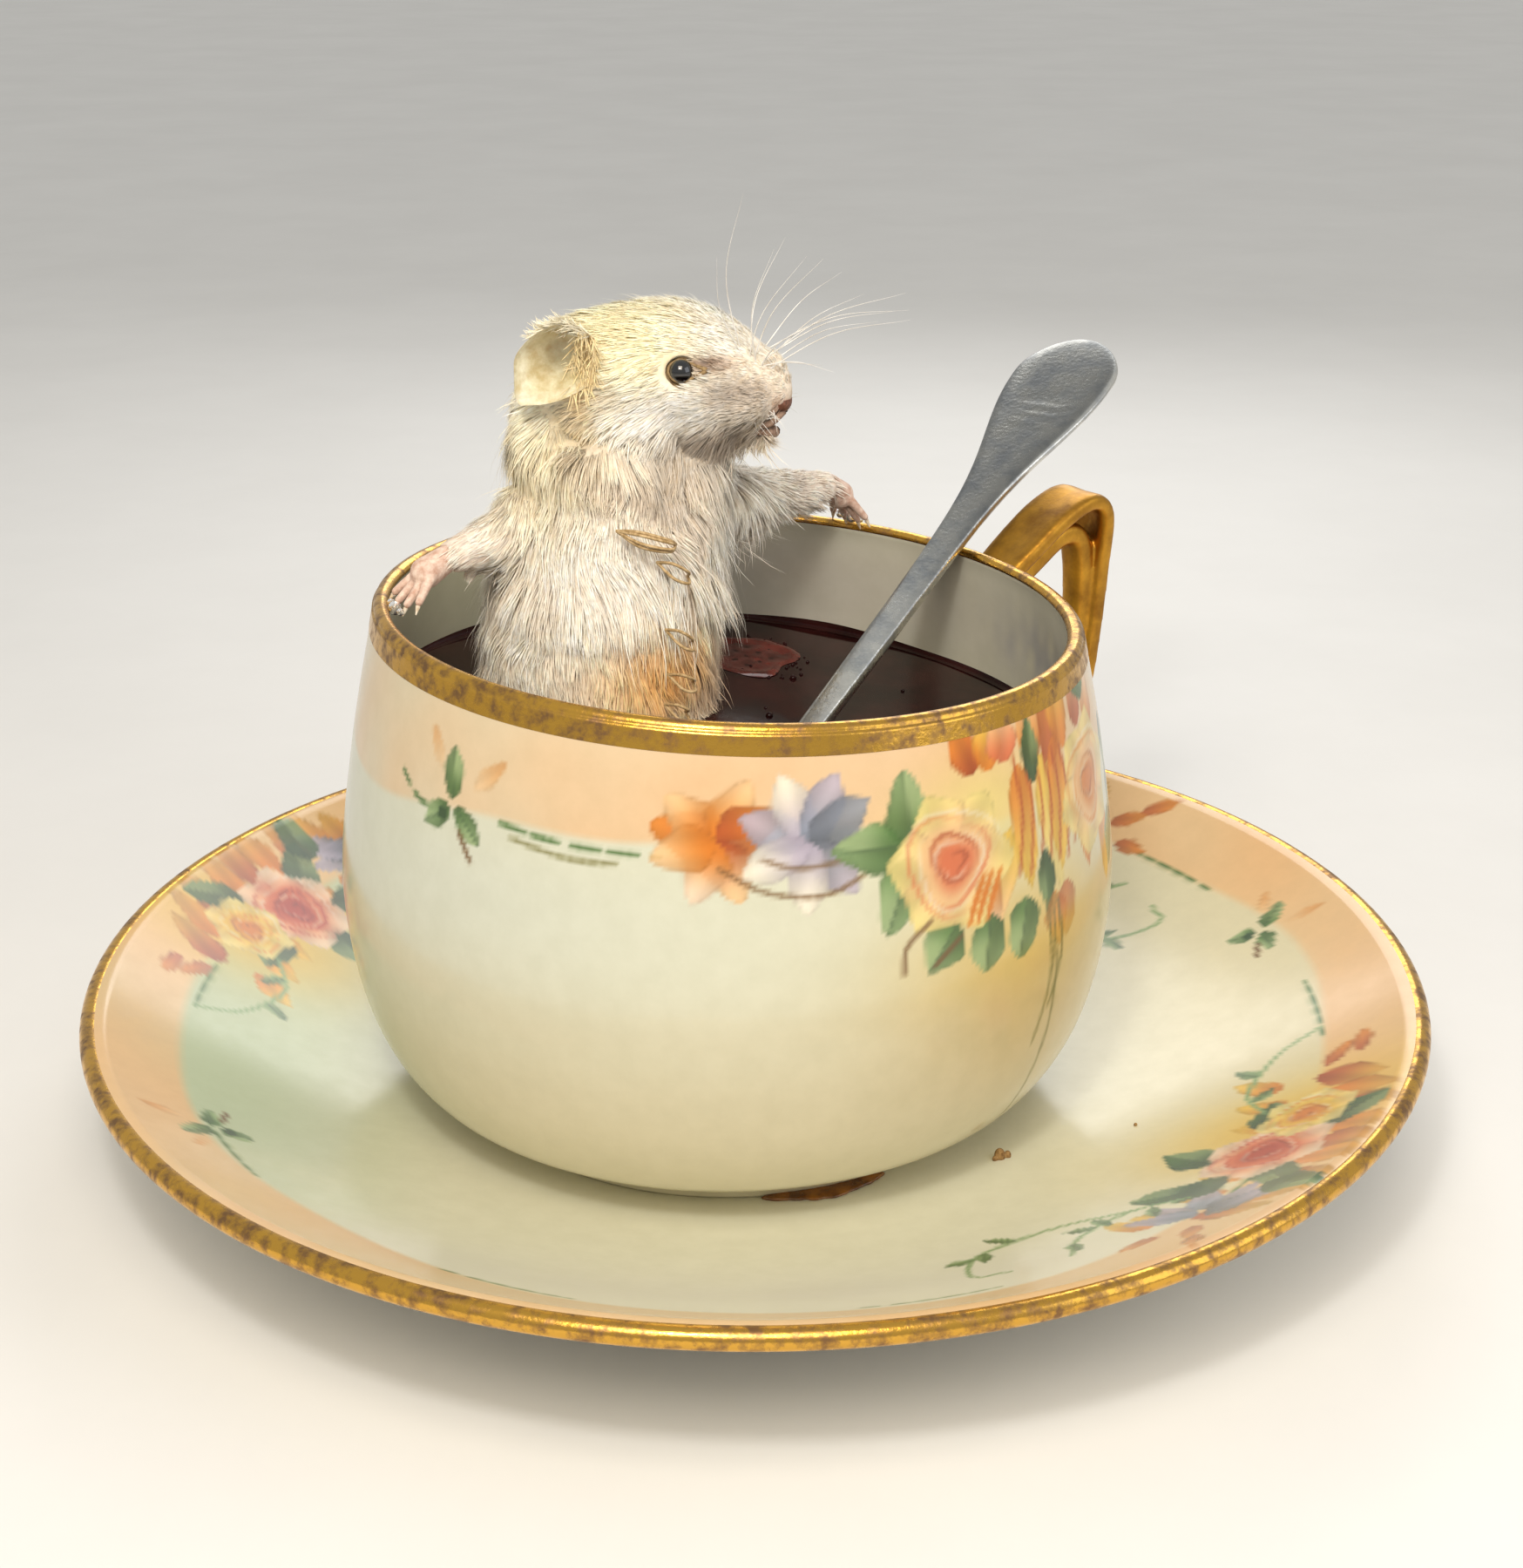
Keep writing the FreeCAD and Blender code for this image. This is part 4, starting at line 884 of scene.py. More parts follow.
@dataclass
class Saucer:
    """The dish: a flat well, a rising painted border and a gilt lip."""

    lip: float = 2.2
    well_r: float = 34.0
    well_z: float = 4.4
    foot_r: float = 44.0
    foot_w: float = 3.0
    foot_h: float = 1.6
    rise: float = 1.7           # how late the border turns up
    columns: int = 840
    row_step: float = 0.5
    top: float = 19.0
    dash_r: float = 63.9        # where the green dashes run round
    sprig_r: float = 63.5
    rose_r: float = 62.5
    gold_t: float = 0.04
    low: Array = field(default_factory=lambda: box_of("saucer")[0])
    high: Array = field(default_factory=lambda: box_of("saucer")[1])

    def __post_init__(self) -> None:
        """Take the dish's radius from its CAD box."""
        self.r = float(self.high[0] - self.low[0]) / 2

    def height(self, r: Array) -> Array:
        """Height of the upper face at a radius."""
        share = np.clip((r - self.well_r) / (self.r - self.lip - self.well_r), 0, 1)
        return self.well_z + (self.top - self.well_z) * share ** self.rise

    def on_circle(self, radius: float, turn: float) -> Point:
        """A place at a radius and a turn in degrees."""
        a = math.radians(turn)
        return radius * math.cos(a), radius * math.sin(a)

    def paint(self, points: Array, upper: Array) -> Array:
        """Colour of every vertex: apricot border, cluster and tendrils over pale green glaze, with painted
        shade on the left, a painted shadow of the cup on the right and painted light at the front.
        """
        flat = points.reshape(-1, 3)
        r = np.hypot(flat[:, 0], flat[:, 1])
        angle = np.arctan2(flat[:, 1], flat[:, 0])
        rgb = np.tile(srgb("#F3F4E2"), (len(flat), 1))
        # painted shade: the left side of the dish darker and greener
        shift(rgb, "#C6D6B8", smoothstep(-30, -60, flat[:, 0]))
        # painted light: the front of the dish near white
        shift(rgb, "#FFFFF4", smoothstep(-38, -58, flat[:, 1]))
        # painted shadow of the cup: the right side of the dish darker and warmer
        shift(rgb, "#EBE3C2", 0.8 * smoothstep(25, 62, flat[:, 0]))
        canvas = Canvas(flat[:, 0], flat[:, 1], rgb)
        edge = 64.3 + 0.8 * np.sin(4 * angle + 1.0) + 0.5 * np.sin(9 * angle)
        band = smoothstep(-0.6, 0.8, r - edge) * (0.86 + 0.1 * ripple(flat, 20, 2))
        canvas.lay(np.arange(len(flat)), band, Ink.PEACH.tone)
        for start in range(-172, 180, 18):
            if start % 4 == 0:
                continue
            arc = [self.on_circle(self.dash_r, start + k) for k in (0, 4, 8, 12)]
            canvas.stroke(arc, 0.42, Ink.GREEN, 0.7, 2.6)
        for turn in (156, -34, 62):
            self.cluster(canvas, turn)
        for turn in (15, -152, 105):
            Garland(canvas, self.on_circle(self.sprig_r, turn), turn - 60, 0.85).sprig()
        up = np.repeat(upper, points.shape[1])
        return np.where(up[:, None], canvas.rgb, srgb("#EFEDE4"))

    def cluster(self, canvas: Canvas, turn: float) -> None:
        """Rose with orange, yellow and slate petals along the border, and two tendrils inwards."""
        here = Garland(canvas, self.on_circle(self.rose_r, turn), turn - 90)
        canvas.wash(here.at(-8, 0), 14, 9, Ink.YELLOW, 0.9)
        for k in range(9):
            x = -17 + 4.2 * k
            sweep = 0.02 * x * x
            root = Ink.ORANGE if k % 2 else Ink.RUST
            here.petal(x, 4.5 - sweep, 78 + 5 * (k % 3), 8.5, 4.2, root, Ink.OCHRE, 0.9)
            here.petal(x + 2, 1.5 - sweep, 250 + 9 * (k % 4), 6.5, 3.2, Ink.ORANGE, Ink.YELLOW, 0.85)
        for k, heading in enumerate((200, 165, 235, 120, 280, 150)):
            here.petal(14.5 + 1.2 * (k % 3), -0.5 + 1.1 * (k % 2), heading, 7.5, 3.6,
                       Ink.SLATE if k % 2 else Ink.BLUE_GREY, Ink.LILAC, 0.9)
        for x, y, heading in ((4.2, 1.5, 40), (4.6, -2.4, -20), (7.4, -3.2, -66), (-5.5, -1.5, 200),
                              (1.0, -4.6, 250), (9.5, 3.5, 70), (-4.5, 4.2, 140)):
            here.leaf(x, y, heading, 7.6, 4.8, Ink.DARK_GREEN, Ink.GREEN)
        canvas.rose(here.at(0, 0), 5.8, Ink.MADDER, Ink.CORAL, Ink.BLUSH)
        canvas.rose(here.at(-8.5, 1.0), 4.4, Ink.ORANGE, Ink.YELLOW, Ink.PALE_YELLOW)
        for x, y, heading in ((20, 1, 12), (22, -2, -22), (24, 2.5, 18), (-19, -1, 170), (-21, 2, 196)):
            here.petal(x, y, heading, 5.2, 2.2, Ink.RUST, Ink.ORANGE, 0.75)
        here.tendril([(10, -4), (13, -9), (20, -11), (26, -9)],
                     [(12, -7, 30), (17, -10.5, -60), (22, -11, 40)])
        here.tendril([(12, -8), (17, -15), (26, -19), (33, -16), (31, -13)],
                     [(15, -12, 60), (21, -17.5, -80), (25, -19, 30), (27, -19, -30)])
        here.tendril([(-10, -4), (-15, -8), (-23, -8), (-28, -5)], [(-13, -6.5, 160), (-19, -8.5, 250)])

    def build(self) -> None:
        """Make the dish and its gilt lip."""
        inner = np.linspace(0.0, self.well_r + 3, 14)
        steps = np.arange(self.well_r + 3.5, self.r - self.lip, self.row_step)
        r = np.concatenate([inner, steps])
        face = np.stack([r, self.height(r)], axis=1)
        edge_r = self.r - self.lip / 2
        arc = np.linspace(math.pi * 0.6, -math.pi * 0.5, 12)
        lip = np.stack([edge_r + self.lip / 2 * np.cos(arc),
                        self.top - self.lip / 2 + self.lip / 2 * np.sin(arc)], axis=1)
        low_z = self.top - self.lip
        under = smooth_curve([(self.r - 0.9 * self.lip, low_z),
                              (0.5 * (self.r + self.foot_r) - 0.5, 0.44 * low_z),
                              (self.foot_r + 0.5, self.foot_h)], 16)[1:]
        inner_foot = self.foot_r - self.foot_w
        base = [(self.foot_r + 0.1, 0.3), (self.foot_r - 0.3, 0.0), (inner_foot + 0.3, 0.0),
                (inner_foot, 0.3), (inner_foot - 0.3, self.foot_h), (0.5 * inner_foot, self.foot_h),
                (0.0, self.foot_h)]
        profile = np.vstack([face, lip, under, base])
        upper = np.arange(len(profile)) < len(face) + 6
        theta = whole_turn(self.columns)
        points = self.spin(profile, -theta)
        dish = lathe_piece("saucer_dish", points, self.paint(points, upper))
        settle(dish, SAUCER_BODY, "porcelain_saucer", PORCELAIN, "saucer")
        arc = np.linspace(math.pi * 0.72, -math.pi * 0.42, 16)
        half = self.lip / 2
        gold = np.stack([edge_r + (half + self.gold_t) * np.cos(arc),
                         self.top - half + (half + self.gold_t) * np.sin(arc)], axis=1)
        ring = self.spin(gold, -theta[::2])
        band = make_mesh("saucer_rim_gilding", ring.reshape(-1, 3),
                         [grid_faces(len(gold), len(theta[::2]), True)])
        settle(band, SAUCER_BODY, "gilding", RIM_GOLD)

    def spin(self, profile: Array, theta: Array) -> Array:
        """A profile turned about the saucer's axis."""
        r, z = profile[:, 0][:, None], profile[:, 1][:, None]
        heights = np.broadcast_to(z, (len(profile), len(theta)))
        return np.stack([r * np.cos(theta), r * np.sin(theta), heights], axis=-1)


# ---------------------------------------------------------------- what stands in the cup
@dataclass
class Tea:
    """Set resin: the CAD pool with a raised edge, a thin red window and trapped bubbles."""

    level: float = 46.9
    lean: float = 5.8
    glow_at: tuple[float, float] = (-0.5, 24.2)
    glow_r: float = 5.6
    bubbles: int = 46
    pool_r: float = 37.0

    def height(self, x: Array) -> Array:
        """Height of the leaning surface."""
        return self.level - math.tan(math.radians(self.lean)) * (x - CUP_AXIS)

    def build(self) -> None:
        """Dress the pool and add its window, bubbles and creeping edge."""
        dress(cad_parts["tea_fill"], TEA)
        self.window()
        self.froth()
        self.edge()

    def window(self) -> None:
        """Shallow hollow that shows thin red resin, with a rippled rim."""
        rings, around = 10, 48
        turn = whole_turn(around)
        share = np.linspace(1, 0.06, rings)
        r = self.glow_r * share[:, None] * (1 + 0.12 * np.sin(3 * turn) + 0.07 * np.sin(5 * turn + 1))
        x = self.glow_at[0] + r * np.cos(turn)
        y = self.glow_at[1] + 1.25 * r * np.sin(turn)
        swell = 0.26 * np.exp(-((share - 0.86) / 0.1) ** 2)[:, None] * (1 + 0.5 * np.sin(4 * turn))
        z = self.height(x) + 0.03 + swell + 0.05 * np.sin(2.2 * x) * np.sin(1.9 * y) * (share[:, None] < 0.7)
        points = np.stack([x, y, z], axis=-1).reshape(-1, 3)
        centre = np.array([[self.glow_at[0], self.glow_at[1], self.height(self.glow_at[0]) + 0.04]])
        last = (rings - 1) * around
        c = np.arange(around)
        cap = np.stack([last + c, last + (c + 1) % around, np.full(around, len(points))], axis=1)
        glow = make_mesh("tea_window", np.vstack([points, centre]), [grid_faces(rings, around, True), cap])
        settle(glow, CUP_BODY, "tea_resin", TEA_GLOW)

    def froth(self) -> None:
        """Small bubbles caught round the window and along the mouse's side."""
        rng = np.random.default_rng(11)
        balls = []
        for k in range(self.bubbles):
            if k % 3 == 0:
                x, y = rng.uniform(-2, 26), rng.uniform(-18, 26)
            else:
                turn = rng.uniform(-1.4, 1.6)
                r = self.glow_r * rng.uniform(0.9, 1.35)
                x, y = self.glow_at[0] + r * math.cos(turn), self.glow_at[1] + 1.2 * r * math.sin(turn)
            size = rng.uniform(0.1, 0.24) if k % 9 else 0.42
            balls.append((x, y, self.height(x) + 0.1 * size, size))
        beads("tea_bubbles", np.array(balls), CUP_BODY, "tea_resin", TEA)

    def edge(self) -> None:
        """Resin drawn a little way up the wall."""
        cup = Teacup()
        around = 240
        turn = whole_turn(around)
        rise = 0.55 + 0.25 * np.sin(5 * turn) + 0.12 * np.sin(11 * turn + 2)
        rows = []
        for out, up in ((1.1, 0.02), (0.55, 0.12), (0.2, 0.45), (0.05, 1.0)):
            z = self.height(CUP_AXIS + self.pool_r * np.sin(turn)) + rise * up
            r = cup.radius(z, False) - out
            rows.append(np.stack([CUP_AXIS + r * np.sin(turn), -r * np.cos(turn), z], axis=-1))
        points = np.stack(rows).reshape(-1, 3)
        ring = make_mesh("tea_edge", points, [grid_faces(len(rows), around, True)])
        settle(ring, CUP_BODY, "tea_resin", TEA)


def beads(name: str, balls: Array, body: str, slot: str, finish: Finish, *nodes: str) -> bpy.types.Object:
    """Round beads as one piece.

    Args:
        name: the piece's name.
        balls: rows of x, y, z and radius.
        body, finish, nodes: as for settle; slot is not used.

    Returns:
        The object.
    """
    lat, around = 8, 12
    shell = ball_rows(lat, around, 0.12)
    quads = grid_faces(lat, around, True)
    top = np.arange(around)[None, ::-1]
    bottom = np.arange(around)[None, :] + (lat - 1) * around
    points, faces, caps = [], [], []
    for k, (x, y, z, r) in enumerate(balls):
        points.append(shell * r + np.array([x, y, z]))
        faces.append(quads + k * len(shell))
        caps += [top + k * len(shell), bottom + k * len(shell)]
    obj = make_mesh(name, np.vstack(points), [np.vstack(faces), np.vstack(caps)])
    return settle(obj, body, slot, finish, *nodes)


@dataclass
class Handle:
    """Angular gilt loop: a broad dished band over a narrower inner arch, cast as one."""

    turn: float = 35.0
    half_t: float = 1.4
    dish: float = 0.5
    rows: int = 70
    sides: int = 28
    corner: float = 0.6
    voxel: float = 0.26
    band: tuple = ((38.1, 57.3, 3.3), (41.8, 60.0, 3.6), (46.6, 63.2, 3.7), (51.0, 64.6, 3.6),
                   (53.4, 62.4, 3.3), (53.5, 56.0, 2.7), (53.0, 48.0, 2.4), (52.0, 41.0, 2.2),
                   (49.2, 35.6, 2.2), (44.0, 32.0, 2.3), (39.4, 29.4, 2.4))
    arch: tuple = ((39.2, 55.4, 2.2), (43.4, 58.2, 2.1), (47.6, 60.6, 2.0), (50.6, 59.6, 1.9),
                   (51.6, 54.0, 1.8), (51.3, 46.0, 1.6), (50.4, 39.6, 1.5))

    def section(self, path: tuple, dish: float) -> tuple[Array, Array]:
        """Rounded bar along a path of radius, height and half-width, with a hollow down its outer face."""
        a = math.radians(self.turn)
        out = np.array([math.cos(a), math.sin(a), 0.0])
        across = np.array([-math.sin(a), math.cos(a), 0.0])
        line = smooth_curve(path, self.rows)
        centre = np.array([CUP_AXIS, 0, 0]) + line[:, :1] * out + line[:, 1:2] * UP
        way = unit(np.gradient(centre, axis=0))
        normal = np.cross(across, way)
        phi = whole_turn(self.sides)
        x = squared(np.cos(phi), self.corner)
        y = squared(np.sin(phi), self.corner) * self.half_t - dish * np.sign(np.sin(phi)) * (1 - x ** 2)
        points = (centre[:, None] + across * (x[None, :] * line[:, 2:3])[..., None]
                  + normal[:, None] * np.broadcast_to(y, (self.rows, self.sides))[..., None]).reshape(-1, 3)
        k = np.arange(1, self.sides - 1)
        start = np.stack([np.zeros_like(k), k + 1, k], axis=1)
        end = np.stack([np.zeros_like(k), k, k + 1], axis=1) + (self.rows - 1) * self.sides
        return points, np.vstack([halved(grid_faces(self.rows, self.sides, True)), start, end])

    def build(self) -> None:
        """Fuse the band and the arch."""
        parts = [self.section(self.band, self.dish), self.section(self.arch, 0.0)]
        loop = melted("gilt_handle", parts, self.voxel, 6)
        settle(loop, CUP_BODY, "gilding", HANDLE_GOLD, "cup_handle")


@dataclass
class Teaspoon:
    """Plated spoon: a flat stem that opens to a round-ended paddle, and its bowl under the tea."""

    rest: float = 43.0
    heading: float = 55.5
    pitch: float = 24.0
    past_rim: float = 37.0
    stem: float = 83.0
    paddle_w: float = 6.9
    neck_w: float = 1.35
    thick: float = 1.0
    clearance: float = 0.05
    flare_end: float = 0.09     # share of the stem that its rounded end takes
    flare_rows: int = 40
    bow: float = 3.0            # how far the stem bows up at its end
    bowl: tuple[float, float, float] = (19.0, 12.0, 6.3)
    bowl_t: float = 0.9
    rows: int = 170
    sides: int = 44

    def __post_init__(self) -> None:
        """Work out the stem's directions and its upper end from the cup's rim."""
        cup = Teacup()
        rest = math.radians(self.rest)
        seat_r = cup.rim_r - cup.lip / 2
        x = seat_r * math.cos(rest)
        rim_z = cup.rim_z - x * math.tan(math.radians(cup.lean))
        rim = np.array([cup.axis + x, seat_r * math.sin(rest), rim_z])
        h, p = math.radians(self.heading), math.radians(self.pitch)
        self.along = np.array([math.cos(h) * math.cos(p), math.sin(h) * math.cos(p), math.sin(p)])
        self.across = unit(np.cross(self.along, UP))
        self.face = np.cross(self.across, self.along)
        self.end = rim + self.face * (self.thick + self.clearance) + self.along * self.past_rim

    def build(self) -> None:
        """Make the stem and the bowl."""
        self.make_stem()
        self.make_bowl()

    def make_stem(self) -> None:
        """Tapered stem with a round-ended paddle and worn pits; its paint is painted reflection: a darker
        paddle, a lighter lower stem and a painted highlight along one edge.
        """
        flare = np.linspace(0, math.pi / 2, self.flare_rows, endpoint=False)
        s = np.concatenate([self.flare_end * (1 - np.cos(flare)),
                            np.linspace(self.flare_end, 1, self.rows - self.flare_rows)])
        paddle = np.exp(-((s - 0.1) / 0.19) ** 2)
        tip = np.sqrt(np.clip(1 - np.clip(1 - s / 0.085, 0, 1) ** 2, 0.0, 1))
        wide = self.neck_w * (1.9 - 0.9 * s) + (self.paddle_w - 1.9 * self.neck_w) * paddle
        wide = wide * np.maximum(tip, 0.01)
        thick = self.thick * (0.72 + 0.28 * s) * np.maximum(tip ** 0.5, 0.05)
        centre = self.end - self.along * (self.stem * s)[:, None]
        centre = centre + self.face * (self.bow * (1 - s) ** 2)[:, None]
        phi = whole_turn(self.sides)
        u, v = squared(np.cos(phi), 0.5), squared(np.sin(phi), 0.7)
        flat = (centre[:, None] + self.across * (wide[:, None] * u)[..., None]
                + self.face * (thick[:, None] * v)[..., None]).reshape(-1, 3)
        down, aside = np.repeat(s, self.sides), np.tile(u, len(s))
        worn = np.exp(-((down - 0.17) / 0.035) ** 2) * np.tile(np.clip(v, 0, 1), len(s))
        worn = worn * np.exp(-(aside - 0.1) ** 2 / 0.25)
        pits = np.clip(ripple(flat, 0.9, 41) + 0.5 * ripple(flat, 0.45, 42), -1, 1)
        flat = flat + self.face * (0.16 * worn * pits - 0.05 * worn)[:, None]
        ring = np.arange(self.sides)[None, :]
        caps = np.vstack([ring[:, ::-1], (len(s) - 1) * self.sides + ring])
        # painted reflection: the paddle darker, the lower stem lighter and a painted highlight along the
        # right edge
        painted_reflection = np.maximum(0.66 + 0.34 * smoothstep(0.32, 0.8, down), smoothstep(0.82, 0.97, aside))
        tone = painted_reflection[:, None] * np.array([1.0, 1.01, 1.02])
        stem = make_mesh("spoon_stem", flat, [grid_faces(len(s), self.sides, True), caps], tone)
        settle(stem, CUP_BODY, "silver_plate", SILVER, "teaspoon")

    def make_bowl(self) -> None:
        """Thin oval bowl beyond the stem's lower end."""
        middle = self.end - self.along * (self.stem + 0.88 * self.bowl[0]) + self.face * 0.5
        rings, around = 12, 40
        turn = whole_turn(around)
        q = np.linspace(math.pi / 2, 0.04, rings)[:, None]
        shells = []
        for inset in (0.0, self.bowl_t):
            a, b, d = (size - inset for size in self.bowl)
            shells.append(middle + self.along * (a * np.sin(q) * np.cos(turn))[..., None]
                          + self.across * (b * np.sin(q) * np.sin(turn))[..., None]
                          - self.face * (d * np.cos(q) * np.ones(around))[..., None])
        outer, inner = shells
        dish = np.concatenate([outer[::-1], inner]).reshape(-1, 3)
        ring = np.arange(around)[None, :]
        caps = np.vstack([ring[:, ::-1], (2 * rings - 1) * around + ring])
        quads = grid_faces(2 * rings, around, True)
        bowl = make_mesh("spoon_bowl", dish, [quads, caps], np.ones_like(dish))
        settle(bowl, CUP_BODY, "silver_plate", SILVER)


class HiddenFrame:
    """Wires, wound forms and eye clay inside the hide, which need only their finish."""

    def build(self) -> None:
        """Dress every inner node."""
        pairs = {"body_form": WOOL, "head_form": WOOL, "spine_wire": WIRE, "foreleg_wire_left": WIRE,
                 "foreleg_wire_right": WIRE, "anchor_wire_left": WIRE, "anchor_wire_right": WIRE,
                 "eye_clay_left": CLAY, "eye_clay_right": CLAY}
        for name, finish in pairs.items():
            dress(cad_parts[name], finish)


# ---------------------------------------------------------------- mouse
def dress_smooth(name: str, finish: Finish) -> None:
    """Give a CAD node its finish and smooth shading."""
    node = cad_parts[name]
    dress(node, finish)
    node.data.polygons.foreach_set("use_smooth", np.ones(len(node.data.polygons), bool))


def node_arrays(name: str) -> tuple[Array, Array]:
    """A CAD node's vertices in millimetres and its triangles."""
    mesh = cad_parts[name].data
    return vertex_rows(mesh, "co") / MM, triangle_rows(mesh)


def melted(name: str, parts: Sequence[tuple[Array, Array]], voxel: float, rounds: int) -> bpy.types.Object:
    """Solids fused into one smooth skin.

    Args:
        name: the new object's name.
        parts: vertices and triangles of each solid.
        voxel: the remesh size.
        rounds: how many times the skin is smoothed.

    Returns:
        A mesh object with no modifiers.
    """
    points, faces, start = [], [], 0
    for p, f in parts:
        points.append(p)
        faces.append(f + start)
        start += len(p)
    rough = make_mesh(name + "_rough", np.vstack(points), [np.vstack(faces)])
    remesh = rough.modifiers.new("fuse", "REMESH")
    remesh.mode = "VOXEL"
    remesh.voxel_size = voxel * MM
    smooth = rough.modifiers.new("soften", "SMOOTH")
    smooth.factor = 0.5
    smooth.iterations = rounds
    graph = bpy.context.evaluated_depsgraph_get()
    mesh = bpy.data.meshes.new_from_object(rough.evaluated_get(graph))
    old = rough.data
    bpy.data.objects.remove(rough)
    bpy.data.meshes.remove(old)
    mesh.name = name
    mesh.polygons.foreach_set("use_smooth", np.ones(len(mesh.polygons), bool))
    return place(name, mesh)


def blob(centre: Sequence[float], size: Sequence[float], turn: float = 0.0) -> tuple[Array, Array]:
    """Closed egg shape for fusing into a skin.

    Args:
        centre: its middle.
        size: half-widths along its own three directions.
        turn: degrees about the vertical.

    Returns:
        The vertices and triangles.
    """
    lat, around = 12, 18
    ball = np.vstack([ball_rows(lat, around, 0.1), [[0, 0, 1], [0, 0, -1]]]) * np.array(size)
    c, s = math.cos(math.radians(turn)), math.sin(math.radians(turn))
    ball = ball @ np.array([[c, s, 0], [-s, c, 0], [0, 0, 1]]) + np.array(centre)
    top = fan(lat * around, 0, around, True)
    bottom = fan(lat * around + 1, (lat - 1) * around, around, False)
    return ball, np.vstack([halved(grid_faces(lat, around, True)), top, bottom])


@dataclass
class Mouse:
    """The mounted animal: fused skin, coat of hair, face, ears, paws and whiskers."""

    voxel: float = 0.55
    head_turn: float = -9.0
    nape: tuple[float, float, float] = (-23.5, 9.0, 84.0)
    head_l: float = 27.4
    hairs_per_mm2: float = 17.0
    hair_w: float = 0.12
    guard_share: float = 0.025  # share of the hairs that stand long and free
    dark_share: float = 0.06
    clump: int = 26             # hairs drawn together to one tip
    bald_eye: float = 1.9
    bald_nose: float = 1.25
    bald_wrist: float = 2.2
    nose_drop: float = 1.6
    ear_t: float = 0.34
    thread_r: float = 0.17
    ruff_z: float = 77.0        # where long hair stands off under the chin
    seam_z: float = 63.5        # where the coat parts at the seam
    paw_voxel: float = 0.16
    shoulders: tuple = (("left", (-4.5, 14.0, 69.0)), ("right", (-25.0, 4.5, 69.0)))
    # cheeks, whisker pads and brows on both sides: share along the head, aside, up, and half-widths
    side_pads: tuple = (((0.42, 4.6, -3.6), (5.4, 3.4, 3.8)), ((0.82, 2.7, -1.9), (3.6, 2.0, 2.3)),
                        ((0.5, 4.6, 4.0), (3.6, 2.4, 1.9)))
    # bridge, nose end, lower lip and jaw, in the same way
    middle_pads: tuple = (((0.9, 0, 0.5), (3.0, 2.6, 3.2)), ((0.975, 0, -0.9), (1.3, 2.0, 2.2)),
                          ((0.8, 0, -4.4), (3.8, 1.9, 1.3)), ((0.55, 0, -5.6), (6.0, 3.6, 2.6)))
    # nape and throat: middle and half-widths
    neck_pads: tuple = (((-22.8, 7.5, 78.0), (3.2, 6.0, 7.0)), ((-10.0, 8.0, 74.8), (6.4, 7.0, 4.2)))
    # share along each foreleg and size of its shoulder and upper-arm swells
    arm_pads: tuple = ((-0.1, 4.0), (0.08, 3.2), (0.22, 2.4))
    # middle, size, colour and strength of each cloud over the coat; the two grey clouds under the jaw and on
    # the throat are painted shade
    clouds: tuple = (
        ((-15, 6, 90), (10, 10, 7), "#F8EDC4", 0.95), ((-23, 4, 77), (6, 8, 8), "#F2E6C2", 0.75),
        ((-11, 0, 88), (6, 5, 4), "#F6E8BC", 0.7), ((-2, 3, 89), (5, 6, 4), "#FAF5EA", 0.8),
        ((-8, 0, 82), (7, 5, 2.8), "#FAF7F0", 0.95), ((-1.0, 1.5, 83.6), (3.6, 4, 1.7), "#A39587", 0.85),
        ((-4.2, 0.5, 86.6), (3.2, 3, 0.7), "#8E715C", 0.85),
        ((-3.0, 2.0, 79.2), (4.5, 4, 1.2), "#9A8C7E", 0.85),
        ((2.6, 4.2, 85.6), (2.2, 3, 1.8), "#F3E6D6", 0.85),
        ((3.2, 3.6, 81.6), (1.1, 2.4, 1.2), "#B58566", 0.6),
        # painted shade: the two grey clouds on this line darken the underside of the jaw and the throat
        ((-11, -1, 76.5), (8, 5, 2.2), "#B5A692", 0.65), ((-8, -2, 71), (5, 5, 4.5), "#D2C0AC", 0.6),
        ((-16, -4, 66), (9, 6, 6), "#FBF3E8", 0.8), ((-9, -5, 55.0), (7.5, 9, 5.2), "#EFB468", 1.0),
        ((-20, -3, 47), (6, 7, 5), "#DCC09A", 0.5), ((-3, 4, 50), (3.5, 8, 6), "#C29C76", 0.7),
        ((-17.5, 0, 84.5), (1.6, 3, 4.5), "#D8B478", 0.6))
    # name, root, way it grows, way it faces, and size of each ear
    ear_plans: tuple = (("right", (-16.6, -0.9, 87.7), (-1.0, -0.05, 0.02), (0.15, -1.0, 0.0), 0.96),
                        ("left", (-13.0, 14.0, 85.0), (0.85, 0.5, 0.12), (-0.3, 1.0, 0.1), 0.86))
    # side and the tips, by x and z, of each fan of long whiskers
    fans: tuple = (("right", -1, ((-1.2, 105.0), (-3.9, 98.7), (1.9, 99.2), (5.3, 98.3), (7.0, 97.8),
                                  (6.1, 91.7), (15.4, 94.6), (16.1, 91.5), (8.2, 86.1))),
                   ("left", 1, ((17.0, 89.7), (15.3, 90.1), (13.6, 88.4), (3.4, 98.0), (9.6, 93.8),
                                (7.6, 84.0), (4.8, 79.0), (12.0, 91.6))))
    # ends of each bundle of thread, from the top
    seams: tuple = (((-14.6, -4.4, 70.3), (-8.4, -3.6, 68.6)), ((-10.4, -4.2, 66.8), (-7.2, -3.2, 65.0)),
                    ((-9.6, -4.4, 59.4), (-7.0, -3.2, 57.6)), ((-9.4, -4.6, 54.4), (-6.8, -3.4, 53.2)),
                    ((-9.8, -4.6, 51.0), (-7.6, -3.8, 49.9)))
    tea: Tea = field(default_factory=Tea)

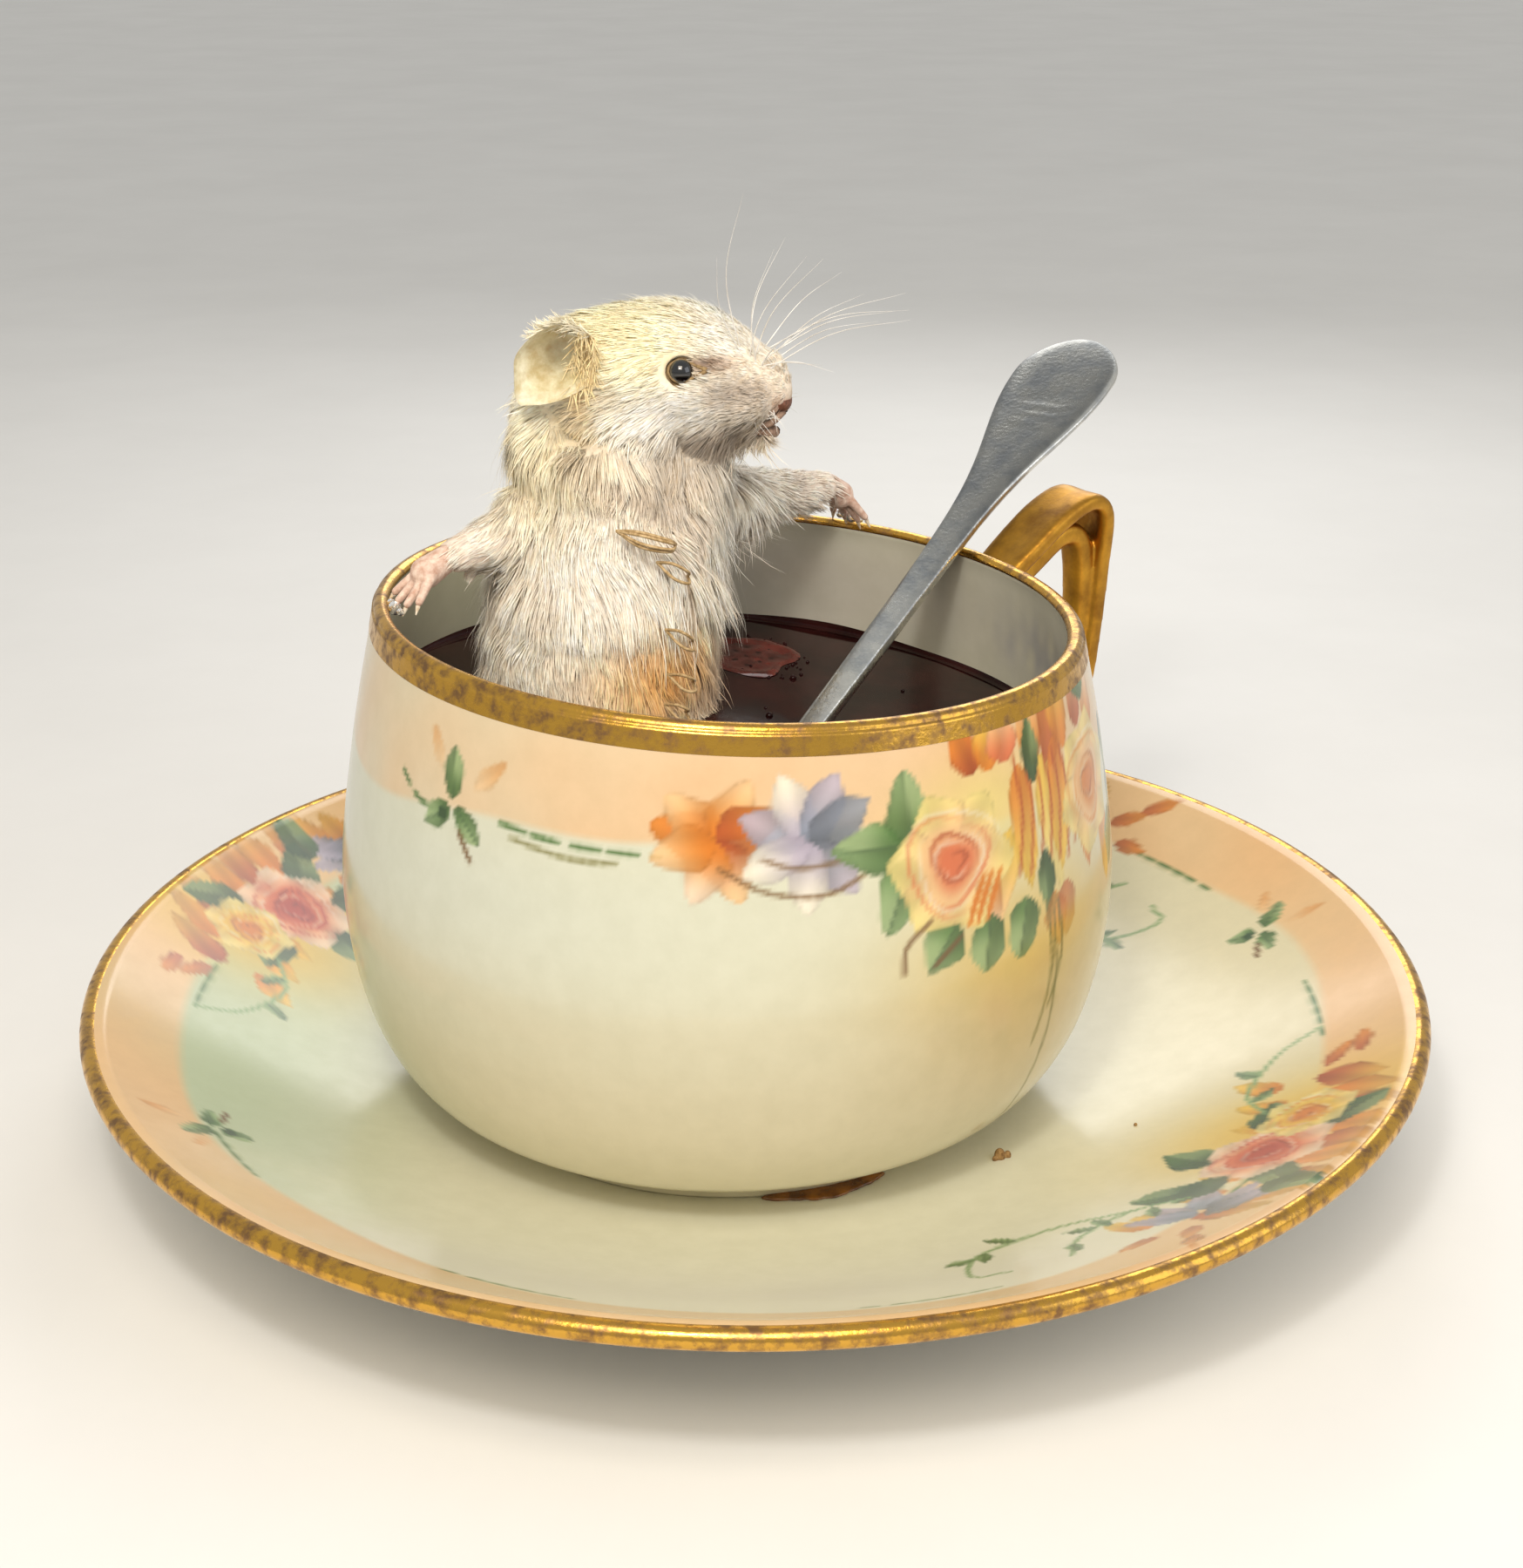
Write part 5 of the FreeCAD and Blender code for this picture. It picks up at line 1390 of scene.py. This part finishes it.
    def __post_init__(self) -> None:
        """Work out the head's directions and the forelegs' ends from the CAD boxes."""
        a = math.radians(self.head_turn)
        self.ahead = np.array([math.cos(a), math.sin(a), 0.0])
        self.side = np.array([-math.sin(a), math.cos(a), 0.0])
        self.nape_at = np.array(self.nape)
        self.nose_at = self.nape_at + self.ahead * self.head_l
        self.eyes = [np.mean(box_of("eye_" + s), axis=0) for s in ("left", "right")]
        self.arms = []
        for s, shoulder in self.shoulders:
            low, high = box_of("paw_" + s)
            x, y = (low if s == "left" else high)[:2]
            self.arms.append((np.array(shoulder), np.array([x, y, high[2]]) - UP * 1.5))

    def face_at(self, along: float, sideways: float, up: float) -> Array:
        """A place on the head by its share of the length, and millimetres sideways and up."""
        return self.nape_at + self.ahead * (self.head_l * along) + self.side * sideways + UP * up

    def head_share(self, points: Array) -> Array:
        """How far along the head each place is, from 0 at the nape to 1 at the nose."""
        return (points - self.nape_at) @ self.ahead / self.head_l

    def build(self) -> None:
        """Make every part of the mouse."""
        skin = self.skin()
        self.coat(skin)
        self.face()
        self.ears()
        self.paws()
        self.whiskers()
        self.stitches()

    # -------------------------------------------------------- skin
    def skin(self) -> bpy.types.Object:
        """Fuse the hide's regions and add cheeks, brow, muzzle, jaw and elbows."""
        parts = [node_arrays(n) for n in ("torso_hide", "body_form", "head_hide", "head_form",
                                          "foreleg_hide_left", "foreleg_hide_right")]
        for s in (-1, 1):
            for (along, aside, up), size in self.side_pads:
                parts.append(blob(self.face_at(along, aside * s, up), size, self.head_turn))
        for spot, size in self.middle_pads:
            parts.append(blob(self.face_at(*spot), size, self.head_turn))
        for spot, size in self.neck_pads:
            parts.append(blob(spot, size))
        for shoulder, wrist in self.arms:
            for share, size in self.arm_pads:
                parts.append(blob(shoulder + (wrist - shoulder) * share, (size, size, size)))
        skin = melted("mouse_skin", parts, self.voxel, 9)
        mesh = skin.data
        points = vertex_rows(mesh, "co") / MM
        for eye in self.eyes:
            away = points - eye
            gap = np.linalg.norm(away, axis=1)
            push = np.clip(1.75 - gap, 0, None)[:, None]
            points = points + unit(away) * push * 0.55
        mesh.vertices.foreach_set("co", (points * MM).astype(np.float32).ravel())
        lay_paint(mesh, self.colour(points))
        mesh.update()
        settle(skin, CUP_BODY, "fur", SKIN, "torso_hide", "head_hide", "foreleg_hide_left",
               "foreleg_hide_right")
        return skin

    def arm_share(self, points: Array) -> tuple[Array, Array, Array]:
        """For each point: how far along the nearer foreleg it is, its gap to the middle line, and the way."""
        best_gap = np.full(len(points), 1e9)
        best_share = np.zeros(len(points))
        best_way = np.zeros((len(points), 3))
        for shoulder, wrist in self.arms:
            way = wrist - shoulder
            share = np.clip((points - shoulder) @ way / (way @ way), 0, 1.2)
            gap = np.linalg.norm(points - shoulder - share[:, None] * way, axis=1)
            nearer = gap < best_gap
            best_gap[nearer] = gap[nearer]
            best_share[nearer] = share[nearer]
            best_way[nearer] = unit(way)
        return best_share, best_gap, best_way

    def colour(self, points: Array) -> Array:
        """Coat colour at each place, as sRGB, with painted shade under the jaw and on the throat."""
        rgb = np.tile(srgb("#F4EADB"), (len(points), 1))
        for centre, size, code, strength in self.clouds:
            gap = ((points - np.array(centre)) / np.array(size)) ** 2
            shift(rgb, code, strength * np.exp(-gap.sum(axis=1)))
        share, gap, _ = self.arm_share(points)
        leg = smoothstep(0.25, 0.9, share) * smoothstep(7.5, 5.0, gap) * (points[:, 2] < 74)
        shift(rgb, "#F2E3D6", 0.75 * leg)
        rgb *= 1 + 0.05 * ripple(points, 5.0, 4)[:, None]
        return np.clip(rgb, 0, 1)

    # -------------------------------------------------------- coat
    def comb(self, points: Array, normals: Array) -> tuple[Array, Array, Array]:
        """Which way the hair lies, how long it is and how far it lifts.

        Args:
            points: roots.
            normals: outward directions.

        Returns:
            Directions along the skin, lengths in millimetres, and lifts.
        """
        z = points[:, 2]
        along = self.head_share(points)
        on_head = smoothstep(77.5, 81.5, z) * smoothstep(-0.2, 0.05, along)
        below = np.clip((84.5 - z) / 6, 0, 1)
        head_way = -self.ahead - UP * (0.25 + 0.9 * below)[:, None] * (along < 0.62)[:, None]
        down = -UP + 0.25 * normals + self.ahead * 0.18
        way = head_way * on_head[:, None] + down * (1 - on_head)[:, None]
        share, gap, arm_way = self.arm_share(points)
        arm = smoothstep(0.05, 0.4, share) * smoothstep(8.0, 5.5, gap) * (z < 75)
        way = way * (1 - arm)[:, None] + (arm_way - UP * 0.25) * (1.4 * arm)[:, None]
        swirl = np.stack([ripple(points, 7.0, 21), ripple(points, 7.0, 22), ripple(points, 7.0, 23)], axis=1)
        way = way + 0.45 * swirl * (1 - 0.6 * on_head)[:, None]
        way = unit(way - normals * np.sum(way * normals, axis=1, keepdims=True))
        snout = smoothstep(0.62, 0.95, along) * on_head
        length = 3.3 - 1.4 * on_head - 0.9 * snout + 1.1 * on_head * below
        seam = np.exp(-((z - self.seam_z) / 2.2) ** 2)
        ruff = np.exp(-((z - self.ruff_z) / 2.5) ** 2)
        length = length + 1.6 * seam * (1 - on_head)
        length = length + 1.2 * ruff - 1.5 * arm * smoothstep(0.2, 0.9, share)
        length = length - 0.8 * smoothstep(56, 49, z)
        lift = 0.20 - 0.08 * on_head + 0.16 * seam - 0.08 * arm
        lift = lift + 0.12 * ruff
        return way, np.clip(length, 0.6, 7.5), np.clip(lift, 0.08, 0.6)

    def roots(self, skin: bpy.types.Object) -> tuple[Array, Array]:
        """Random places over the skin with their normals."""
        tris = triangle_rows(skin.data)
        points = vertex_rows(skin.data, "co") / MM
        smooth = vertex_rows(skin.data, "normal")
        a, b, c = points[tris[:, 0]], points[tris[:, 1]], points[tris[:, 2]]
        area = 0.5 * np.linalg.norm(np.cross(b - a, c - a), axis=1)
        middle = (a + b + c) / 3
        along = self.head_share(middle)
        weight = area * np.where(middle[:, 2] > 78, 2.1, 1.0) * np.where(along > 0.7, 1.5, 1.0)
        weight[middle[:, 2] < self.tea.height(middle[:, 0]) - 0.5] = 0
        count = int(self.hairs_per_mm2 * weight.sum())
        rng = np.random.default_rng(7)
        pick = rng.choice(len(tris), size=count, p=weight / weight.sum())
        u, v = rng.random(count), rng.random(count)
        flip = u + v > 1
        u[flip], v[flip] = 1 - u[flip], 1 - v[flip]
        shares = np.stack([1 - u - v, u, v], axis=1)[..., None]
        corners = tris[pick]
        return (points[corners] * shares).sum(axis=1), unit((smooth[corners] * shares).sum(axis=1))

    def haired(self, root: Array) -> Array:
        """Whether hair grows at each place: not on the eyes, the nose or the paws."""
        bald = [(eye, self.bald_eye) for eye in self.eyes]
        bald.append((self.nose_at - UP * self.nose_drop, self.bald_nose))
        bald += [(wrist, self.bald_wrist) for _, wrist in self.arms]
        keep = np.ones(len(root), bool)
        for spot, radius in bald:
            keep &= np.linalg.norm(root - spot, axis=1) > radius
        return keep

    def nearest(self, points: Array, others: Array) -> Array:
        """The number of the nearest other place to each point."""
        tree = KDTree(len(others))
        for k, other in enumerate(others):
            tree.insert(Vector(other), k)
        tree.balance()
        return np.array([tree.find(Vector(p))[1] for p in points])

    def regions(self, root: Array) -> tuple[tuple[str, Array], ...]:
        """The coat's pieces and which hairs each one holds."""
        z = root[:, 2]
        on_head = (z > 79.5) & (self.head_share(root) > -0.1)
        share, gap, _ = self.arm_share(root)
        on_arm = ~on_head & (share > 0.2) & (gap < 6.5) & (z < 75)
        upper = ~on_head & ~on_arm & (z > 63)
        return (("coat_head", on_head), ("coat_forelegs", on_arm), ("coat_neck_chest", upper),
                ("coat_belly", ~on_head & ~on_arm & ~upper))

    def coat(self, skin: bpy.types.Object) -> None:
        """Grow the coat as tapered blades in clumps, split by region."""
        root, normal = self.roots(skin)
        keep = self.haired(root)
        root, normal = root[keep], normal[keep]
        rng = np.random.default_rng(19)
        way, length, lift = self.comb(root, normal)
        length = length * rng.uniform(0.7, 1.15, len(root))
        guard = rng.random(len(root)) < self.guard_share
        length = np.where(guard, length * 1.45, length)
        lift = np.where(guard, lift * 1.7, lift * rng.uniform(0.6, 1.5, len(root)))
        way = unit(way + rng.normal(size=root.shape) * 0.13)
        tip = root + way * length[:, None] + normal * (lift * length)[:, None] * 0.75
        tip[:, 2] -= 0.05 * length ** 2 * (root[:, 2] < 79)
        heads = rng.choice(len(root), size=max(1, len(root) // self.clump), replace=False)
        own = heads[self.nearest(root, root[heads])]
        pull = np.where(guard, 0.1, 0.55) * rng.uniform(0.6, 1.0, len(root))
        tip = tip + (tip[own] - tip) * pull[:, None]
        tip[:, 2] = np.maximum(tip[:, 2], self.tea.height(tip[:, 0]) + 0.05)
        tone = self.colour(root) * rng.uniform(0.94, 1.1, (len(root), 1))
        tone[rng.random(len(root)) < self.dark_share] *= 0.82
        for name, chosen in self.regions(root):
            hairs = self.blades(name, root[chosen], tip[chosen], normal[chosen], tone[chosen])
            settle(hairs, CUP_BODY, "fur", FUR)

    def blades(self, name: str, root: Array, tip: Array, normal: Array, tone: Array) -> bpy.types.Object:
        """Hair blades: seven vertices each, curved out from the skin and tapered.

        Args:
            name: the piece's name.
            root, tip: ends of each hair.
            normal: outward direction at the root.
            tone: sRGB colour of each hair.

        Returns:
            The object.
        """
        count = len(root)
        run = tip - root
        length = np.linalg.norm(run, axis=1)[:, None]
        across = unit(np.cross(run, normal))
        rows, colours = [], []
        # painted shade and highlight: each blade darker at its root and lighter towards its tip
        for share, wide, shade in ((0.0, 1.0, 0.86), (0.34, 1.0, 0.98), (0.7, 0.66, 1.05), (1.0, 0.0, 1.1)):
            bow = normal * length * 0.22 * share * (1 - share) * 1.6
            middle = root - normal * (0.25 * (1 - share)) + run * share + bow
            half = across * (0.5 * self.hair_w * wide)
            if wide:
                rows += [middle - half, middle + half]
                colours += [tone * shade, tone * shade]
            else:
                rows.append(middle)
                colours.append(tone * shade)
        points = np.stack(rows, axis=1).reshape(-1, 3)
        paint = np.clip(np.stack(colours, axis=1).reshape(-1, 3), 0, 1)
        base = np.arange(count)[:, None] * 7
        quads = np.vstack([base + np.array([[0, 1, 3, 2]]), base + np.array([[2, 3, 5, 4]])])
        tris = base + np.array([[4, 5, 6]])
        return make_mesh(name, points, [quads, tris], paint)

    # -------------------------------------------------------- face
    def face(self) -> None:
        """Eyes with their lids, the lips and the nose pad."""
        for name in ("eye_left", "eye_right"):
            dress_smooth(name, EYE)
        self.eyelids()
        self.lips()
        self.nose_pad()

    def eyelids(self) -> None:
        """Thin lids round the eyes, drawn out to a tear corner at the front."""
        for name, eye, s in (("left", self.eyes[0], 1), ("right", self.eyes[1], -1)):
            out = unit(self.side * s + self.ahead * 0.24 + UP * 0.28)
            ahead = unit(self.ahead - out * (self.ahead @ out))
            up = np.cross(out, ahead)
            up = up if up[2] > 0 else -up
            turn = np.linspace(0, 2 * math.pi, 40)
            front = np.clip(np.cos(turn), 0, 1) ** 5
            reach = (1.32 + 1.25 * front) * np.cos(turn)
            rise = 1.12 * np.sin(turn) * (1 - 0.25 * front) + 0.15 * front
            line = eye + out * 0.5 + ahead * reach[:, None] + up * rise[:, None]
            radii = 0.14 + 0.14 * front + 0.03 * np.sin(5 * turn)
            lid = tubes("eyelid_" + name, [line], [radii], 8)
            settle(lid, CUP_BODY, "modelling_clay", CLAY)

    def lips(self) -> None:
        """Upper and lower lips, each side as a roll that thins towards the cheek."""
        rolls, radii = [], []
        for s in (-1, 1):
            for spots, count, thick, taper in (
                    (((0.985, 0.5, -3.0), (0.93, 1.5, -4.3), (0.84, 2.2, -4.0), (0.74, 3.0, -3.0)),
                     18, 0.42, 0.22),
                    (((0.95, 0.0, -5.4), (0.92, 1.0, -5.3), (0.84, 1.8, -4.8)), 14, 0.62, 0.3)):
                path = [self.face_at(along, aside * s, up) for along, aside, up in spots]
                rolls.append(smooth_curve(path, count))
                radii.append(thick - taper * np.linspace(0, 1, count))
        settle(tubes("lips", rolls, radii, 9), CUP_BODY, "nose_skin", LIP)

    def nose_pad(self) -> None:
        """Dried nose leather: a middle pad between two nostril wings."""
        tip = self.nose_at - self.ahead * 0.45 + UP * -2.0
        parts = [blob(tip, (0.9, 1.6, 1.15), self.head_turn)]
        for s in (1, -1):
            parts.append(blob(tip + self.side * (1.2 * s) - self.ahead * 0.35, (0.9, 0.6, 0.8)))
        settle(melted("nose_pad", parts, 0.14, 4), CUP_BODY, "nose_skin", NOSE, "nose")

    def ears(self) -> None:
        """Thin cupped ears with a rolled edge, and the long hairs at their roots."""
        for name, root, grow, out, size in self.ear_plans:
            root, grow, out = (np.array(value, float) for value in (root, grow, out))
            grow = unit(grow)
            out = unit(out - grow * (out @ grow))
            rise = np.cross(grow, out)
            rise = rise if rise[2] > 0 else -rise
            rows, columns = 22, 40
            s = np.linspace(0, 1, rows)[:, None]
            f = np.linspace(-1, 1, columns)[None, :]
            wide = 2.5 + 2.3 * np.sin(0.5 * math.pi * np.minimum(1, s * 1.25)) - 0.3 * s ** 3
            reach = 8.7 * (1 - 0.46 * np.clip(f, 0, 1) ** 1.7 - 0.08 * np.clip(-f, 0, 1) ** 8)
            hollow = -2.4 * (1 - f ** 2) * np.sin(math.pi * np.clip(s * 0.8 + 0.1, 0, 1))
            curl = 1.5 * smoothstep(0.72, 1.0, np.abs(f)) * (f > 0) + 0.9 * s ** 6 - 0.3 * (f < -0.8) * s
            crease = 0.22 * np.sin(8 * f + 2 * s) * s * (1 - s)
            depth = hollow + curl + crease
            sheet = (root + grow * (size * reach * s)[..., None]
                     + rise * (size * (wide * f - 0.5 * s))[..., None] + out * (size * depth)[..., None])
            inner = sheet.reshape(-1, 3)
            outer = inner - out * self.ear_t
            quads = grid_faces(rows, columns, False)
            count = rows * columns
            rim = np.concatenate([np.arange(columns), np.arange(2, rows + 1) * columns - 1,
                                  np.arange(count - 2, count - columns - 1, -1),
                                  np.arange(rows - 2, 0, -1) * columns])
            after = np.roll(rim, -1)
            edge = np.stack([rim, after, after + count, rim + count], axis=1)
            tone = self.ear_tone(np.repeat(s, columns), np.tile(f.ravel(), rows))
            faces = [quads, quads[:, ::-1] + count, edge]
            paint = np.vstack([tone, tone * 0.95])
            ear = make_mesh("ear_skin_" + name, np.vstack([inner, outer]), faces, paint)
            settle(ear, CUP_BODY, "ear_skin", EAR, "ear_" + name)
            self.ear_hairs(name, sheet, out, grow, rise)

    def ear_tone(self, along: Array, aside: Array) -> Array:
        """Ear colour by the share along it and from edge to edge: pale rim, painted shade in the grey hollow
        and warm root.
        """
        tone = np.tile(srgb("#DCD2AE"), (len(along), 1))
        shift(tone, "#F0E9CF", smoothstep(0.7, 0.95, np.maximum(along, np.abs(aside))))
        # painted shade: grey in the ear's hollow
        shift(tone, "#8E8A72", 0.75 * np.exp(-((along - 0.42) / 0.24) ** 2 - ((aside - 0.12) / 0.5) ** 2))
        shift(tone, "#CDA468", 0.6 * smoothstep(0.25, 0.0, along))
        return tone

    def ear_hairs(self, name: str, sheet: Array, out: Array, grow: Array, rise: Array) -> None:
        """Wisps along the ear's upper edge and at its root."""
        rng = np.random.default_rng(31)
        rows, columns = sheet.shape[:2]
        count = 560
        edge = rng.random(count) < 0.6
        s = np.where(edge, rng.integers(2, rows, count), rng.integers(0, 7, count))
        f = np.where(edge, rng.integers(columns - 8, columns, count), rng.integers(0, columns, count))
        root = sheet[s, f]
        lean = rng.normal(size=(count, 3)) * 0.3
        back = unit(-grow * 0.1 + rise * -0.6 + out * 0.35 + lean)
        over = unit(grow * 0.8 + rise * 0.35 + out * 0.1 + lean)
        way = np.where(edge[:, None], over, back)
        length = np.where(edge, rng.uniform(0.8, 2.0, count), rng.uniform(1.0, 2.6, count))
        tip = root + way * length[:, None]
        tone = np.where(edge[:, None], srgb("#F3EBD2"), srgb("#EBD6A4")) * rng.uniform(0.85, 1.08, (count, 1))
        hairs = self.blades("ear_hairs_" + name, root, tip, np.tile(out, (count, 1)), tone)
        settle(hairs, CUP_BODY, "fur", FUR)

    def paws(self) -> None:
        """Melt the paws' joints together and dress claws and glue."""
        for side in ("left", "right"):
            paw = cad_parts["paw_" + side]
            melt = paw.modifiers.new("melt", "REMESH")
            melt.mode = "VOXEL"
            melt.voxel_size = self.paw_voxel * MM
            melt.use_smooth_shade = True
            soften = paw.modifiers.new("soften", "SMOOTH")
            soften.factor = 0.5
            soften.iterations = 5
            for name, finish in (("paw_", PAW), ("claws_", CLAW)):
                dress_smooth(name + side, finish)
        drops = {"right": ((-38.0, -6.2, 62.5, 0.75), (-38.6, -4.6, 62.6, 0.45), (-37.2, -7.9, 62.6, 0.4)),
                 "left": ((12.0, 33.3, 61.2, 0.8), (10.6, 33.0, 61.6, 0.5), (13.0, 33.0, 60.9, 0.45))}
        for side, balls in drops.items():
            beads("glue_beads_" + side, np.array(balls), CUP_BODY, "clear_glue", GLUE, "paw_glue_" + side)

    def whiskers(self) -> None:
        """Long tapered bristles from the muzzle, and short ones about the lips."""
        rng = np.random.default_rng(5)
        for name, s, tips in self.fans:
            lines, radii = [], []
            for k, (x, z) in enumerate(tips):
                root = self.face_at(0.84 + 0.025 * (k % 3), 2.0 * s, 2.0 - 0.5 * (k % 4))
                tip = np.array([x, root[1] + s * (3.0 + 5.0 * rng.random()), z])
                middle = 0.5 * (root + tip)
                bend = UP if x > 8 else np.array([-1.0, 0.0, 0.25])
                middle = middle + bend * (0.09 * np.linalg.norm(tip - root))
                line = smooth_curve([root, middle, tip], 20)
                lines.append(line)
                radii.append(0.095 * (1 - np.linspace(0, 0.93, 20)))
            for k in range(14):
                root = self.face_at(0.8 + 0.012 * k, (1.2 + 0.1 * k) * s, -3.6 + 0.35 * (k % 5))
                ahead, aside, up = rng.uniform(0.8, 3.2), rng.uniform(1, 3), rng.uniform(-2.2, 1.0)
                tip = root + self.ahead * ahead + self.side * s * aside + UP * up
                lines.append(smooth_curve([root, 0.5 * (root + tip) + UP * 0.25, tip], 8))
                radii.append(0.06 * (1 - np.linspace(0, 0.9, 8)))
            obj = tubes("whisker_fan_" + name, lines, radii, 5)
            settle(obj, CUP_BODY, "whisker_hair", WHISKER, "whiskers_" + name)

    def stitches(self) -> None:
        """Bundles of thread that stand off the chest and close the seam."""
        lines, radii = [], []
        for k, (a, b) in enumerate(self.seams):
            a, b = np.array(a), np.array(b)
            for strand in range(4 if k == 0 else 2):
                lift = np.array([0.45, -0.9, 0.0]) * (2.0 + 0.12 * strand)
                sag = np.array([0, 0, (0.75, -0.8, 0.45, -0.4)[strand]])
                out, back = a + (b - a) * 0.25 + lift + sag, a + (b - a) * 0.75 + lift + sag * 0.8
                lines.append(smooth_curve([a, out, back, b], 22))
                radii.append(np.full(22, self.thread_r))
        obj = tubes("thread_loops", lines, radii, 8)
        settle(obj, CUP_BODY, "linen_thread", THREAD, "seam_stitches")


@dataclass
class Crumbs:
    """Specks and a film of resin left on the saucer."""

    # place in plan and size of each grain
    grains: tuple = ((26.3, -21.2, 0.75), (27.2, -20.9, 0.5), (25.8, -21.6, 0.4), (41.6, -17.4, 0.22),
                     (38.0, 40.0, 0.3), (-44.0, 30.0, 0.25))
    residue_r: float = 29.4
    residue_z: float = 4.55
    residue_from: float = -81.0
    residue_to: float = -58.0

    def build(self) -> None:
        """Fuse a crumb from uneven grains, add a few fine specks and lay the film."""
        dish = Saucer()
        rng = np.random.default_rng(3)
        parts = []
        for x, y, size in self.grains:
            z = float(dish.height(np.array([math.hypot(x, y)]))[0])
            parts.append(blob((x, y, z + 0.4 * size), size * rng.uniform(0.7, 1.3, 3), rng.uniform(0, 90)))
        crumbs = melted("saucer_crumbs", parts, 0.12, 1)
        settle(crumbs, SAUCER_BODY, "amber_resin", CRUMB)
        self.residue()

    def residue(self) -> None:
        """Thin crescent of set resin that crept out from under the foot."""
        rng = np.random.default_rng(5)
        parts = []
        for turn in np.linspace(self.residue_from, self.residue_to, 26):
            middle = 1 - abs(2 * (turn - self.residue_from) / (self.residue_to - self.residue_from) - 1)
            a = math.radians(turn)
            r = self.residue_r + 0.5 * middle + rng.uniform(-0.15, 0.15)
            x, y = CUP_AXIS + r * math.cos(a), r * math.sin(a)
            wide = 0.45 + 1.0 * math.sqrt(middle)
            parts.append(blob((x, y, self.residue_z), (wide, 1.3, 0.35), turn))
        film = melted("resin_film", parts, 0.14, 4)
        settle(film, SAUCER_BODY, "amber_resin", AMBER, "spilled_resin")


# ---------------------------------------------------------------- studio
@dataclass
class Studio:
    """Pale floor, soft light and the camera."""

    eye: tuple[float, float, float] = (-2.67, -251.68, 141.43)
    tilt: float = 21.98
    pan: float = -0.762
    lens: float = 56.0
    half_floor: float = 9000.0
    world_tone: str = "#E6E6E4"
    world_strength: float = 0.74
    # name, place, aim, width, watts and colour of each square lamp
    lamps: tuple = (("key", (-30, -270, 330), (0, -10, 40), 210, 0.95, "#FFF1DC"),
                    ("fill", (320, -160, 190), (0, 0, 40), 260, 0.3, "#F3F6FF"),
                    ("back", (60, 330, 260), (0, 0, 50), 220, 0.4, "#FFFFFF"),
                    ("spark", (-35, -215, 250), (0, 10, 55), 30, 0.22, "#FFFFFF"))

    def build(self) -> None:
        """Make the camera, floor, lights and world."""
        scene = bpy.context.scene
        data = bpy.data.cameras.new("camera")
        data.lens = self.lens
        data.sensor_width = 36.0
        data.clip_start, data.clip_end = 0.01, 20
        scene.camera = place("camera", data)
        scene.camera.location = Vector(self.eye) * MM
        scene.camera.rotation_euler = (math.radians(90 - self.tilt), 0, math.radians(self.pan))
        corners = self.half_floor * np.array([(-1, -1, 0), (1, -1, 0), (1, 1, 0), (-1, 1, 0)])
        floor = make_mesh("floor", corners, [np.array([[0, 1, 2, 3]])])
        dress(floor, STUDIO_FLOOR)
        for lamp in self.lamps:
            self.light(*lamp)
        world = bpy.data.worlds.new("studio")
        world.use_nodes = True
        background = world.node_tree.nodes["Background"]
        background.inputs["Color"].default_value = linear(self.world_tone)
        background.inputs["Strength"].default_value = self.world_strength
        scene.world = world
        scene.view_settings.view_transform = "Standard"

    def light(self, name: str, at: Sequence[float], to: Sequence[float], size: float, power: float,
              code: str) -> None:
        """Square soft light aimed at a place."""
        data = bpy.data.lights.new(name, "AREA")
        data.size = size * MM
        data.energy = power
        data.color = linear(code)[:3]
        lamp = place(name, data)
        lamp.location = Vector(at) * MM
        lamp.rotation_euler = (Vector(to) - Vector(at)).to_track_quat("-Z", "Y").to_euler()


def main() -> None:
    """Build every piece in order."""
    logging.basicConfig(level=logging.INFO)
    Studio().build()
    for maker in (Saucer(), Teacup(), Handle(), Teaspoon(), Tea(), HiddenFrame(), Mouse(), Crumbs()):
        LOG.info("making %s", type(maker).__name__)
        maker.build()
    bpy.context.view_layer.update()


if __name__ == "__main__":
    main()
